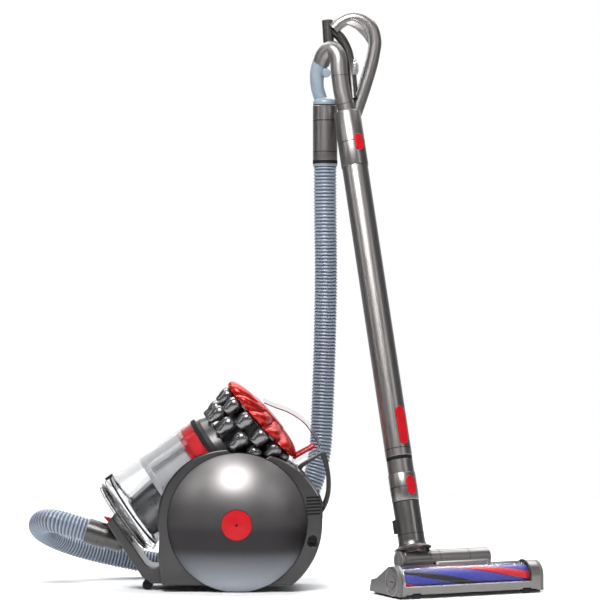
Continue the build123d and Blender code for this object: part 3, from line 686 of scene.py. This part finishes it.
def even_points(points, spacing):
    """The same line with points an even distance apart."""
    result = [points[0].copy()]
    left = spacing
    for a, b in zip(points, points[1:]):
        run = (b - a).length
        while run >= left:
            a = a + (b - a) * (left / run)
            result.append(a.copy())
            run = (b - a).length
            left = spacing
        left -= run
    if (points[-1] - result[-1]).length > spacing * 0.3:
        result.append(points[-1].copy())
    return result


def build_hose():
    curve = bpy.data.curves.new("hose_line", "CURVE")
    curve.dimensions = "3D"
    curve.resolution_u = 24
    spline = curve.splines.new("NURBS")
    spline.points.add(len(HOSE_ROUTE) - 1)
    for point, at in zip(spline.points, HOSE_ROUTE):
        point.co = (*at, 1)
    spline.order_u = 3
    spline.use_endpoint_u = True
    line = bpy.data.objects.new("hose_line", curve)
    bpy.context.scene.collection.objects.link(line)
    mesh = bpy.data.meshes.new_from_object(line.evaluated_get(bpy.context.evaluated_depsgraph_get()))
    dense = [vertex.co.copy() for vertex in mesh.vertices]
    bpy.data.meshes.remove(mesh)
    bpy.data.objects.remove(line)
    path = even_points(dense, RIB / 6)
    fold = (21.0, 20.75, 19.7, 18.9, 19.7, 20.75)      # radii over one rib
    radii = [fold[i % 6] * MM for i in range(len(path))]
    hose = tube_along("hose_ribbed", path, radii, MAT["hose"], 40, angle=75)
    place(hose, "root", "hose", "hose")


build_hose()


# ---------------- softened CAD shapes

SLOTS = {part["node"]: part["material_slot"] for part in frame["record"]["subparts"]}
BODY_OF = {}
for body_name, names in frame["record"]["behaviour"]["bodies"].items():
    for node_name in names:
        BODY_OF[node_name] = body_name


def softened(node, width, look):
    """The CAD node's own shape with its edges rounded over width millimetres."""
    bm = bmesh.new()
    bm.from_mesh(NODES[node].data)
    bmesh.ops.remove_doubles(bm, verts=bm.verts, dist=2e-5)
    bmesh.ops.dissolve_limit(bm, angle_limit=math.radians(0.6), verts=bm.verts, edges=bm.edges)
    bm.normal_update()
    mesh = bpy.data.meshes.new(node + "_shape")
    bm.to_mesh(mesh)
    bm.free()
    mesh.shade_smooth()
    mesh.set_sharp_from_angle(angle=math.radians(40))
    piece = new_object(node + "_shape", mesh, MAT[look])
    bevel(piece, width * MM, clamp=False)
    return place(piece, BODY_OF[node], node, SLOTS[node])


SOFT = {
    "chassis_left": (3.5, "band"), "chassis_right": (3.5, "band"), "front_cradle": (2.2, "band"),
    "rear_spine": (1.6, "band"), "bin_release": (0.8, "red"), "cradle_catch": (0.8, "red"),
    "left_end_cap": (1.2, "grey"), "right_end_cap": (1.2, "grey"), "turbine_housing": (1.2, "nickel"),
    "head_body": (0.8, "nickel"), "wand_button": (0.9, "red"), "telescope_catch": (0.9, "red"),
    "head_button": (0.9, "red"), "wand_clip": (0.8, "dark"), "power_button": (0.8, "nickel"),
    "rewind_button": (0.8, "nickel"), "handle_trigger": (0.9, "silver"),
}
for node_name, (edge_width, edge_look) in SOFT.items():
    softened(node_name, edge_width, edge_look)


# ---------------- ball wheels and hub caps


def ring(name, inner, outer, low, high, matrix, look, body, steps=120):
    """Plain turned ring."""
    outline = [(inner, low), (outer, low), (outer, high), (inner, high)]
    return place(lathe(name, outline, matrix, MAT[look], steps), body)


def groove(name, radius, height, matrix, body, depth=0.25, wide=0.45, steps=72):
    """Dark joint line round a turned surface, standing just proud of it."""
    low, high = height - wide, height + wide
    return ring(name, radius - 1.0, radius + depth, low, high, matrix, "black", body, steps)


SEAM_RADIUS = 122.6       # just outside the ball shell's rim
SEAM_OUT = 74.9           # its distance from the canister's middle plane
SEAM_STEPS = 120


def ball_seam(side, matrix):
    """Dark gap between a ball shell and the chassis band, open where the ball meets the floor."""
    middle = matrix @ Vector((0, 0, SEAM_OUT * MM))
    open_half = math.radians(24)
    points = []
    for step in range(SEAM_STEPS + 1):
        theta = open_half - math.pi / 2 + (2 * math.pi - 2 * open_half) * step / SEAM_STEPS
        points.append(middle + Vector((math.cos(theta), 0, math.sin(theta))) * SEAM_RADIUS * MM)
    place(tube_along(side + "_ball_seam", points, 0.8 * MM, MAT["black"], 10), "root")


def hub_dimple(side, matrix):
    """Small blind hole in the middle of the hub cap."""
    outline = [(0, 126.9), (2.3, 126.9), (2.3, 128.12), (1.7, 128.12), (1.5, 127.3), (0, 127.3)]
    place(lathe(side + "_hub_dimple", outline, matrix, MAT["black"], 32), side + "_wheel")


for side_name, side_frame in (("left", LEFT_SIDE), ("right", RIGHT_SIDE)):
    ball_seam(side_name, side_frame)
    ring(side_name + "_rim_shadow", 114, 122.0, 73.2, 75.25, side_frame, "black", "root")
    ring(side_name + "_hub_shadow", 26.6, 27.6, 121.5, 125.9, side_frame, "black", side_name + "_wheel", 72)
    hub_dimple(side_name, side_frame)


# ---------------- cyclones and their cover


def around(count, start=0.0):
    """Even angles round a circle."""
    return [start + 2 * math.pi * i / count for i in range(count)]


LOWER_BULB = [(0, -66), (5, -66), (7.2, -64), (8.2, -60), (8.6, -55), (11.4, -50), (13.2, -45.5),
              (13.8, -41), (13.4, -36.5), (11.8, -33), (9.2, -30.8), (6, -30), (0, -30)]
UPPER_BULB = [(0, -31), (7, -31), (9.2, -29.4), (10.4, -26), (11.2, -22), (13, -17.5), (14, -12.5),
              (13.9, -8), (12.6, -4), (10, -1.4), (6, -0.4), (0, -0.4)]
BULBS = 12


def bulb_ring(name, node, radius, start, outline, lean):
    """Ring of turned bulbs whose tips lean towards the axis."""
    made = []
    for index, theta in enumerate(around(BULBS, start)):
        at = (CYCLONE @ Matrix.Rotation(theta, 4, "Z") @ Matrix.Translation((radius * MM, 0, 0))
              @ Matrix.Rotation(lean, 4, "Y"))
        made.append(lathe(name + str(index), outline, at, MAT["iron"], 28, angle=50))
    return place(join(name, made), "bin", node, SLOTS[node])


bulb_ring("lower_bulbs", "cyclones_lower", 62.8, 0.0, LOWER_BULB, math.radians(-7))
bulb_ring("upper_bulbs", "cyclones_upper", 73.2, math.radians(15), UPPER_BULB, math.radians(-5))

LOBES = 12
LOBE_START = math.radians(15)
LOBE_TWIST = 0.045        # radians the lobes swirl from one row of the profile to the next
COVER_STEPS = 288
COVER_UNDER = 70          # radius of the cover's flat underside
COVER_FOOT = 0.4          # height of that underside

# radius, height and depth of fold from the skirt up to the middle
COVER_PROFILE = [(84, 0.5, 0.4), (87.2, 1.5, 0.8), (88, 5, 1.0), (86.6, 9.5, 1.0), (82.5, 13.5, 1.0),
                 (76.5, 16.4, 1.0), (69.5, 18.6, 1.0), (61.5, 20.4, 0.85), (52, 22, 0.6), (42, 23.2, 0.2),
                 (39.5, 23.4, 0.0), (38.6, 24.6, 0.0), (34, 25.4, 0.0), (20, 26.6, 0.0), (0.01, 27, 0.0)]


def cover_point(radius, height, fold, row, theta):
    """One point of the cover: between the lobes it dips, and along each lobe's crest it rises a little."""
    turn = theta - LOBE_START - LOBE_TWIST * row
    dip = fold * (1 - abs(math.cos(LOBES / 2 * turn)) ** 0.7)
    crest = fold * 0.22 * max(math.cos(LOBES * turn) - 0.86, 0) / 0.14
    r = radius * (1 - 0.17 * dip + 0.014 * crest)
    z = height - (0 if row < 2 else 10.5 * dip) + 1.2 * crest
    return CYCLONE @ (Vector((r * math.cos(theta), r * math.sin(theta), max(z, COVER_FOOT))) * MM)


def build_cover():
    """Red cover: a shallow dome whose skirt is folded into swirling lobes."""
    bm = bmesh.new()
    uv = bm.loops.layers.uv.new("UVMap")
    angles = around(COVER_STEPS)
    under = [bm.verts.new(CYCLONE @ (Vector((COVER_UNDER * math.cos(t), COVER_UNDER * math.sin(t),
                                             COVER_FOOT)) * MM)) for t in angles]
    rows = [under]
    for row, (radius, height, fold) in enumerate(COVER_PROFILE):
        rows.append([bm.verts.new(cover_point(radius, height, fold, row, t)) for t in angles])
    for lower, upper in zip(rows, rows[1:]):
        for step in range(COVER_STEPS):
            k = (step + 1) % COVER_STEPS
            face = bm.faces.new((lower[step], lower[k], upper[k], upper[step]))
            for loop in face.loops:
                loop[uv].uv = (step / COVER_STEPS, 0)
    bm.faces.new(list(reversed(under)))
    cover = finish_mesh("swirled_cover", bm, MAT["red_cover"], 60)
    place(cover, "bin", "cyclone_cover", SLOTS["cyclone_cover"])


build_cover()


# ---------------- hose ends, handle and grip

MIDDLE_X = 20.76        # the overall box's middle line lies here in the frame, in millimetres
MIDDLE_Y = 21.75
GRIP_Y = 124            # the grip's middle plane behind that line


def spot(x, y, z):
    """A point in the frame from millimetres measured from the overall box's middle line."""
    return Vector((x - MIDDLE_X, y + MIDDLE_Y, z)) * MM


def upright(x, y, z):
    """Frame at a spot whose X runs along the canister and whose Y runs up."""
    return Matrix.Translation(spot(x, y, z)) @ Matrix.Rotation(math.pi / 2, 4, "X")


CUFF_TUBE = pose_frame(spot(46, 126, 0), UP, (1, 0, 0))
GRIP_PLANE = upright(0, GRIP_Y, 0)


def build_duct():
    """Satin pipe that joins the hose's elbow to the wand."""
    duct = curve_points([spot(*p) for p in (
        (85, 100, 856), (76.5, 102.5, 892), (71.5, 105, 930), (69.5, 108, 956), (58, 115, 971.5),
        (45, 122, 962), (38.5, 127, 946))], 8)
    place(tube_along("satin_duct", duct, 15.5 * MM, MAT["nickel"], 40), "root", "handle_duct", "nickel")
    for name, index in (("duct_seam_a", 3), ("duct_seam_b", 14)):
        frame_at = pose_frame(duct[index], duct[index + 1] - duct[index], (1, 0, 0))
        groove(name, 15.6, 0, frame_at, "root", 0.25, 0.35)


def horn_radii():
    """The elbow is widest at both ends and narrowest over a short straight run."""
    foot = [13.5, 13.3, 12.9, 12.6, 12.4, 12.2]
    waist = [12] * 6
    head = [12.1, 12.2, 12.3, 12.4, 12.6, 12.8, 13, 13.2, 13.4, 13.6, 13.8, 14, 14.2, 14.4, 14.6, 14.7,
            14.8, 14.9, 15]
    return foot + waist + head


def build_elbow():
    """Pale swivel elbow on top of the hose, with its collar and boss."""
    horn = curve_points([spot(*p) for p in (
        (43, 126, 868), (37, 126, 884), (32, 126, 902), (31, 126.5, 922), (34, 127.5, 938),
        (39, 128, 950))], 6)
    elbow = tube_along("pale_horn", horn, [r * MM for r in horn_radii()], MAT["pale"], 36)
    collar_line = [(12, 869.5), (20.6, 869.5), (22, 870.6), (22.3, 874), (21.2, 878), (17.5, 881.5),
                   (12, 883)]
    collar = lathe("pale_collar", collar_line, CUFF_TUBE, MAT["pale"], 72)
    boss_line = [(0, 2), (8, 2), (8, 13.4), (7.4, 14.6), (6.2, 15), (5.6, 14.2), (0, 14.2)]
    boss_frame = pose_frame(spot(48, 126, 928), (0, -1, 0), (1, 0, 0))
    boss = lathe("pale_boss", boss_line, boss_frame, MAT["pale"], 48)
    place(join("pale_elbow", [elbow, collar, boss]), "root", "swivel_elbow", "pale")
    ring("collar_shadow", 12, 21.9, 868.6, 869.9, CUFF_TUBE, "black", "root", 72)


def build_grip():
    """Looped grip: its tube, web, front barrel, rear arm in darker nickel as painted shade of the loop's far side,
    a thin silver line along the inner edge as painted highlight, and trigger bracket.
    """
    loop = curve_points([spot(x, GRIP_Y, z) for x, z in (
        (100.5, 851), (106, 866), (114, 889), (122, 914), (130, 941), (135, 965), (137.5, 987), (131, 1011),
        (115, 1026), (94, 1029.5), (74, 1021), (61, 1009))], 6)
    grip = tube_along("grip_tube", loop, 11.6 * MM, MAT["nickel"], 32, Vector((0, 1, 0)))
    web = rounded([(62, 1010), (74, 1022), (92, 1030), (112, 1025), (126, 1006), (130, 984), (125, 981),
                   (118, 993), (103, 1008.5), (82, 1020)], 4)
    plate = prism("grip_plate", web, GRIP_PLANE, -4, 9.6, MAT["nickel"], 1.0)
    barrel_line = [(0, 0), (9, 0), (10, 1), (10, 24), (9.6, 24.4), (9.6, 25.2), (10, 25.6), (10, 41),
                   (9.2, 42), (7.5, 42), (7.2, 40.5), (0, 40.5)]
    barrel_frame = pose_frame(spot(52.5, 127, 984), (-0.06, 0, 1), (1, 0, 0))
    barrel = lathe("grip_barrel", barrel_line, barrel_frame, MAT["dark_nickel_and_painted_shade"], 48)
    # the rear arm takes the darker nickel as painted shade of the loop's far side
    arm = curve_points([spot(*p) for p in (
        (56, 130, 1004), (66, 131.5, 1002), (77, 132, 990), (88, 131, 965), (94, 128, 925),
        (98, 118, 880))], 8)
    arm_tube = tube_along("grip_arm", arm, 9.2 * MM, MAT["dark_nickel_and_painted_shade"], 28)
    # painted highlight: a thin silver tube standing in for the bright line along the loop's inner edge
    inner = curve_points([spot(x, 113.6, z) for x, z in (
        (93, 1027), (110, 1020), (122, 1003), (126.5, 984), (124, 962), (117, 936), (109, 908),
        (101.5, 882))], 8)
    edge = tube_along("grip_painted_highlight", inner, 1.7 * MM, MAT["silver"], 14)
    bracket_line = rounded([(95, 925), (104.5, 925), (107, 930), (107, 944), (103, 949), (96, 948)], 2.5)
    bracket = prism("trigger_bracket", bracket_line, GRIP_PLANE, -5, 7, MAT["silver"], 2)
    place(join("grip", [grip, plate, barrel, arm_tube, edge, bracket]), "root", "grip_loop", "nickel")


def build_cuff():
    """Upper hose cuff with its two joint lines and end rings."""
    line = [(21.1, 761), (22, 761), (22.6, 762), (22.6, 783.4), (22.2, 783.8), (22.2, 784.6), (22.6, 785),
            (22.6, 840.6), (22.2, 841), (22.2, 841.8), (22.6, 842.2), (22.6, 867.6), (21.8, 868.6),
            (13, 868.6), (13, 840), (21.1, 838)]
    cuff = lathe("upper_cuff", line, CUFF_TUBE, MAT["tube"], 96)
    place(cuff, "hose_cuff_upper", "hose_cuff_upper", "nickel")
    ring("cuff_end_ring", 20.6, 22.3, 757.5, 760.8, CUFF_TUBE, "pale", "hose_cuff_upper", 96)
    ring("cuff_dark_ring", 20.8, 22.75, 762.4, 768.4, CUFF_TUBE, "black", "hose_cuff_upper", 96)
    for index, height in enumerate((783.9, 841.3)):
        groove("cuff_seam%d" % index, 22.4, height, CUFF_TUBE, "hose_cuff_upper", 0.3, 0.4)


build_duct()
build_elbow()
build_grip()
build_cuff()


# ---------------- wand


def build_outer_tube():
    """Outer wand tube: bottom collar, plain run, and the wider top that holds the release button."""
    line = [(20, 184), (22.9, 184), (23.5, 184.8), (23.5, 197.1), (23.2, 197.4), (23.2, 198), (23.5, 198.3),
            (23.5, 721.6), (23.2, 722), (24.2, 722.4), (24.6, 723.2), (24.6, 766.4), (24.2, 766.8),
            (24.2, 767.6), (24.6, 768), (24.6, 823.6), (23.8, 825.3), (21.5, 826), (16, 826.4), (16, 800),
            (20, 790)]
    place(lathe("wand_tube", line, WAND, MAT["tube"], 128), "root", "wand_outer", "tube")
    ring("step_ring", 20.2, 22.9, 178.2, 184.2, WAND, "black", "root", 96)
    for index, (height, radius) in enumerate(((197.7, 23.3), (722.2, 23.5), (767.2, 24.4))):
        groove("wand_seam%d" % index, radius, height, WAND, "root", 0.25, 0.4, 96)


def build_inner_tube():
    """Inner wand tube with the collar that takes the head."""
    line = [(17.5, 103.6), (22.8, 103.6), (23.4, 104.4), (24.1, 105.6), (24.1, 127.6), (23.8, 127.9),
            (23.8, 128.5), (24.1, 128.8), (24.1, 152.2), (23.5, 153.2), (23.0, 153.6), (23.0, 176.6),
            (22.4, 177.4), (19.95, 177.4), (19.95, 560), (17.6, 560)]
    place(lathe("inner_tube", line, WAND, MAT["tube"], 128), "wand_inner", "wand_inner", "tube")
    for index, (height, radius) in enumerate(((128.2, 23.95), (153.4, 23.2))):
        groove("inner_seam%d" % index, radius, height, WAND, "wand_inner", 0.25, 0.4, 96)


def build_neck_look():
    """Neck tube with its joint lines and flared foot."""
    softened("neck", 0.8, "collar")
    groove("neck_seam", 23.5, 44.5, WAND, "neck", 0.2, 0.4, 96)
    groove("neck_joint", 23.3, 102.6, WAND, "neck", 0.25, 0.5, 96)
    line = [(22, 17), (31.5, 17), (33, 18.2), (33, 20.4), (31, 21.8), (26, 24.2), (24, 28), (23.6, 33),
            (22, 33)]
    place(lathe("neck_flare", line, WAND, MAT["collar"], 96), "neck")


build_outer_tube()
build_inner_tube()
build_neck_look()


# ---------------- cleaner head

HEAD_LEN = 285
BRUSH_TURN = -0.62     # degrees that each strip turns per millimetre along the brush
STRIP_START = 67       # where along the head the strips' starting angles are measured
STRIP_STEPS = 70
TURBINE_BACK = 75      # the turbine tube's axis behind the head's front, and above the floor
TURBINE_HIGH = 59
PIPE_BACK = 58.5       # the same for the air pipe in front of it
PIPE_HIGH = 48.5


def head_point(u, v, z):
    """A point of the head from millimetres along it, behind its front and above the floor."""
    return HEAD @ (Vector((u, v, z)) * MM)


def brush_point(u, radius, angle):
    """A point round the brush's axis: 0 degrees faces forward, 90 up."""
    turn = math.radians(angle)
    return head_point(u, BRUSH_BACK - radius * math.cos(turn), BRUSH_HIGH + radius * math.sin(turn))


def helix_strip(name, start, width, low_radius, high_radius, look):
    """Raised strip wound along the brush, width degrees wide."""
    low_end, high_end = 14, HEAD_LEN - 14
    section = [(low_radius, -0.55), (high_radius - 0.6, -0.48), (high_radius, -0.3),
               (high_radius + 0.15, 0), (high_radius, 0.3), (high_radius - 0.6, 0.48), (low_radius, 0.55)]
    bm = bmesh.new()
    rows = []
    for step in range(STRIP_STEPS + 1):
        u = low_end + (high_end - low_end) * step / STRIP_STEPS
        middle = start + BRUSH_TURN * (u - STRIP_START)
        rows.append([bm.verts.new(brush_point(u, r, middle + width * share)) for r, share in section])
    for a, b in zip(rows, rows[1:]):
        for k in range(len(a)):
            j = (k + 1) % len(a)
            bm.faces.new((a[k], a[j], b[j], b[k]))
    bm.faces.new(rows[0])
    bm.faces.new(list(reversed(rows[-1])))
    return finish_mesh(name, bm, MAT[look], 50)


def build_brush():
    """Brush bar: dark core, two carbon strips, two red strips and bristles between them."""
    core_line = [(0, 3), (3, 3), (3, 12), (17, 12.5), (18, 14), (18, 271), (17, 272.5), (3, 273), (3, 282),
                 (0, 282)]
    core_frame = pose_frame(brush_point(0, 0, 0), HEAD_ALONG, UP)
    made = [lathe("brush_core", core_line, core_frame, MAT["dark"], 64)]
    for index, opposite in enumerate((0, 180)):
        for name, start, width, radius, look in (
                ("carbon_strip", 30, 30, 21.6, "carbon"), ("red_strip", 126, 38, 21.6, "red_filaments"),
                ("wide_bristles", 75.5, 63, 20.8, "purple"), ("narrow_bristles", 169.5, 51, 20.8, "purple")):
            made.append(helix_strip("%s%d" % (name, index), start + opposite, width, 15, radius, look))
    place(join("brush_strips", made), "brush_bar", "brush_bar", SLOTS["brush_bar"])


def window_hoop(name, u, radius, thick, look):
    """Hoop over the brush window's end, from its lip round to its back."""
    low, high, steps = -14, 112, 14
    arc = [brush_point(u, radius, low + (high - low) * step / steps) for step in range(steps + 1)]
    place(tube_along(name, arc, thick * MM, MAT[look], 12), "head")


def front_strip(name, places, back, high, thick, look):
    """Straight strip along the head's front."""
    line = [head_point(u, back, high) for u in places]
    place(tube_along(name, line, thick * MM, MAT[look], 12), "head")


def build_window_trim():
    window_hoop("window_hoop", 258, 27.2, 2.0, "dark")
    window_hoop("window_hoop_left", 10.8, 27.1, 1.1, "silver")
    front_strip("window_lip", (12, 80, 150, 220, 259), 1.2, 20.2, 1.3, "silver")
    front_strip("bumper_strip", (8, 80, 150, 220, 277), -0.4, 3.2, 1.5, "dark")


def build_air_pipe():
    """Low pipe in front of the turbine, with its open mouth."""
    line = [head_point(u, PIPE_BACK, PIPE_HIGH) for u in (100, 101.5, 104, 150, 203, 207, 209.5)]
    radii = [r * MM for r in (7, 8.4, 9, 9, 9, 7.6, 4.5)]
    place(tube_along("air_pipe", line, radii, MAT["nickel"], 32), "head")
    mouth = [head_point(u, PIPE_BACK, PIPE_HIGH) for u in (98.8, 100.2)]
    place(tube_along("air_pipe_mouth", mouth, 6.6 * MM, MAT["black"], 28), "head")


def build_turbine_trim():
    """End disc and joint lines of the turbine tube."""
    line = [(0, 0.1), (15.4, 0.1), (15.4, 0.9), (14.6, 1.3), (4, 1.3), (3.4, 0.9), (0, 0.9)]
    end_frame = pose_frame(head_point(36, TURBINE_BACK, TURBINE_HIGH), -HEAD_ALONG, UP)
    place(lathe("turbine_end", line, end_frame, MAT["grey"], 56), "head")
    for index, u in enumerate((112, 170)):
        seam_frame = pose_frame(head_point(u, TURBINE_BACK, TURBINE_HIGH), HEAD_ALONG, UP)
        groove("turbine_seam%d" % index, 17, 0, seam_frame, "head", 0.2, 0.35)


def build_coin_lock():
    """Slotted disc that frees the brush bar, and the ring round it."""
    disc_line = [(0, 0), (9.6, 0), (10, 0.3), (9.6, 1.1), (8.4, 1.3), (0, 1.3)]
    lock_frame = pose_frame(head_point(-0.1, BRUSH_BACK, BRUSH_HIGH), -HEAD_ALONG, UP)
    disc = lathe("lock_disc", disc_line, lock_frame, MAT["grey"], 56)
    slot_line = rounded([(-0.9, -7), (0.9, -7), (0.9, 7), (-0.9, 7)], 0.8)
    slot_cut = prism("lock_slot", slot_line, lock_frame, 1.0, 1.45, MAT["black"], 0)
    place(join("coin_lock_face", [disc, slot_cut]), "coin_lock", "coin_lock", SLOTS["coin_lock"])
    ring_line = [(21.6, 0), (24.6, 0), (24.6, 0.9), (23.8, 1.4), (22.2, 1.4), (21.6, 0.9)]
    ring_frame = pose_frame(brush_point(0, 0, 0), -HEAD_ALONG, UP)
    place(lathe("left_end_ring", ring_line, ring_frame, MAT["nickel"], 72), "head")


build_brush()
build_window_trim()
build_air_pipe()
build_turbine_trim()
build_coin_lock()


# ---------------- canister details

BAND_SIDE = 75          # the chassis band's flat sides lie this far from the middle plane
VENTS = 6
VENT_LOW = 135.5
VENT_PITCH = 5.8
VENT_FRONT = 11
VENT_MIDDLE = 150       # height at which the band's rear edge is farthest back


def vent_slit(name, index, sign):
    """One exhaust slit, a dark bar just proud of the band's side."""
    z = VENT_LOW + VENT_PITCH * index
    rear = 36.8 - 0.16 * max(z - VENT_MIDDLE, 0) - 0.1 * max(VENT_MIDDLE - z, 0)
    corners = [(VENT_FRONT, z), (rear, z + 1.2), (rear, z + 4.4), (VENT_FRONT, z + 3.2)]
    outline = rounded(corners, 1.0, steps=3)
    at = Matrix.Translation(spot(0, sign * BAND_SIDE, 0))
    bm = bmesh.new()
    front = [bm.verts.new(at @ (Vector((p[0], sign * 0.25, p[1])) * MM)) for p in outline]
    back = [bm.verts.new(at @ (Vector((p[0], sign * -0.9, p[1])) * MM)) for p in outline]
    bm.faces.new(front)
    bm.faces.new(list(reversed(back)))
    for i in range(len(outline)):
        j = (i + 1) % len(outline)
        bm.faces.new((front[i], front[j], back[j], back[i]))
    return finish_mesh(name, bm, MAT["black"], 30)


def build_vents():
    for side, sign in (("left", -1), ("right", 1)):
        bars = [vent_slit("vent%s%d" % (side, index), index, sign) for index in range(VENTS)]
        place(join("vents_" + side, bars), "root")


build_vents()


def bin_turned(theta):
    """The bin's frame turned round its axis."""
    return BIN @ Matrix.Rotation(theta, 4, "Z")


def build_bin_base():
    """Seal, joint lines, ribs and dark latch of the clear bin's base."""
    ring("bin_seal_line", 70.2, 71.7, -0.2, 2.2, BIN, "black", "bin", 120)
    for index, (radius, height) in enumerate(((71.6, -9.5), (69.8, -17), (66.8, -23.4))):
        ring("base_line%d" % index, radius - 1.2, radius + 0.25, height - 0.5, height + 0.5, BIN, "grey",
             "bin", 120)
    rib_line = [(30, -0.9), (66, -0.9), (66, 0.9), (30, 0.9)]
    pieces = [prism("rib", rib_line, bin_turned(theta), -21, -17.5, MAT["dark"], 0.3) for theta in around(18)]
    hub_line = [(0, -22.5), (26, -22.5), (30, -21), (31, -17.5), (0, -17.5)]
    pieces.append(lathe("base_hub", hub_line, BIN, MAT["dark"], 64))
    rim_line = [(64, -20), (67, -20), (67.6, -17.5), (64, -17.5)]
    pieces.append(lathe("base_rim", rim_line, BIN, MAT["dark"], 96))
    place(join("base_ribs", pieces), "bin")
    latch_line = rounded([(69, -8), (73.5, -8), (73.5, 8), (69, 8)], 1)
    latch = prism("rim_latch", latch_line, bin_turned(math.radians(-42)), -9, 3, MAT["black"], 0.8)
    place(latch, "bin")


def build_shroud():
    """Mesh shroud with four dark fins, and the tapered fine-dust collector below it."""
    shroud_line = [(49, 61.8), (52.6, 61.8), (53, 62.4), (53, 71.6), (52.4, 72), (51.1, 72.4), (51.1, 141.6),
                   (49, 141.6)]
    shroud = lathe("mesh_shroud", shroud_line, BIN, MAT["shroud"], 144)
    place(shroud, "bin", "shroud", SLOTS["shroud"])
    fin_line = [(48, -5), (51.7, -5), (51.7, 5), (48, 5)]
    for index, theta in enumerate(around(4, math.radians(-50))):
        fin = prism("shroud_fin%d" % index, fin_line, bin_turned(theta), 72.6, 141.2, MAT["dark"], 0.4)
        place(fin, "bin")
    cone_line = [(0, 4.1), (37, 4.1), (38.2, 5.2), (42, 32), (46, 61.4), (43.8, 61.4), (36, 6.5), (0, 6.5)]
    off_middle = Matrix.Translation((-17 * MM, 0, 0))
    collector = lathe("collector_cone", cone_line, BIN @ off_middle, MAT["collector"], 96)
    place(collector, "bin", "dust_collector", SLOTS["dust_collector"])


build_bin_base()
build_shroud()


def build_arch():
    """Red insert along the underside of the clear carrying handle."""
    line = curve_points([spot(x, 0, z) for x, z in (
        (-64, 334), (-45, 326), (-18, 315.5), (8, 297.5), (27, 270.5), (35.5, 256))], 8)
    for index, y in enumerate((-10.5, 10.5)):
        shifted = [p + Vector((0, y, -4.2)) * MM for p in line]
        place(tube_along("arch_insert%d" % index, shifted, 0.7 * MM, MAT["deep_red"], 10), "bin")


def build_lever():
    """Red release lever with a silver stripe on each side."""
    plane = upright(0, 0, 0)
    blade_line = rounded([(-9, 232), (27, 252.4), (24.6, 258.8), (-11.5, 240)], 1.6)
    blade = prism("lever_blade", blade_line, plane, -6.9, 6.9, MAT["red"], 1.0)
    stripe_line = [(-7, 235.8), (24.5, 253.8), (24, 255.1), (-7.6, 237.2)]
    stripe = prism("lever_stripe", stripe_line, plane, -7.3, 7.3, MAT["silver"], 0.3)
    place(join("lever_shape", [blade, stripe]), "bin_release")


def build_outlet():
    """Dark hollow of the mains cord's outlet."""
    line = [(0, -0.6), (7.2, -0.6), (7.2, 0.35), (6.8, 0.6), (0, 0.6)]
    outlet = lathe("outlet_shadow", line, upright(22.9, -BAND_SIDE, 93.1), MAT["black"], 48)
    place(outlet, "root")


build_arch()
build_lever()
build_outlet()

OWN_LOOK = {
    "inlet_elbow": "dark_nickel_and_painted_shade", "hose_cuff_lower": "dark_nickel_and_painted_shade", "bin_base": "window",
    "carry_handle": "smoke", "brush_window": "window",
}
for node_name, node_look in OWN_LOOK.items():
    for material_slot in NODES[node_name].material_slots:
        material_slot.material = MAT[node_look]
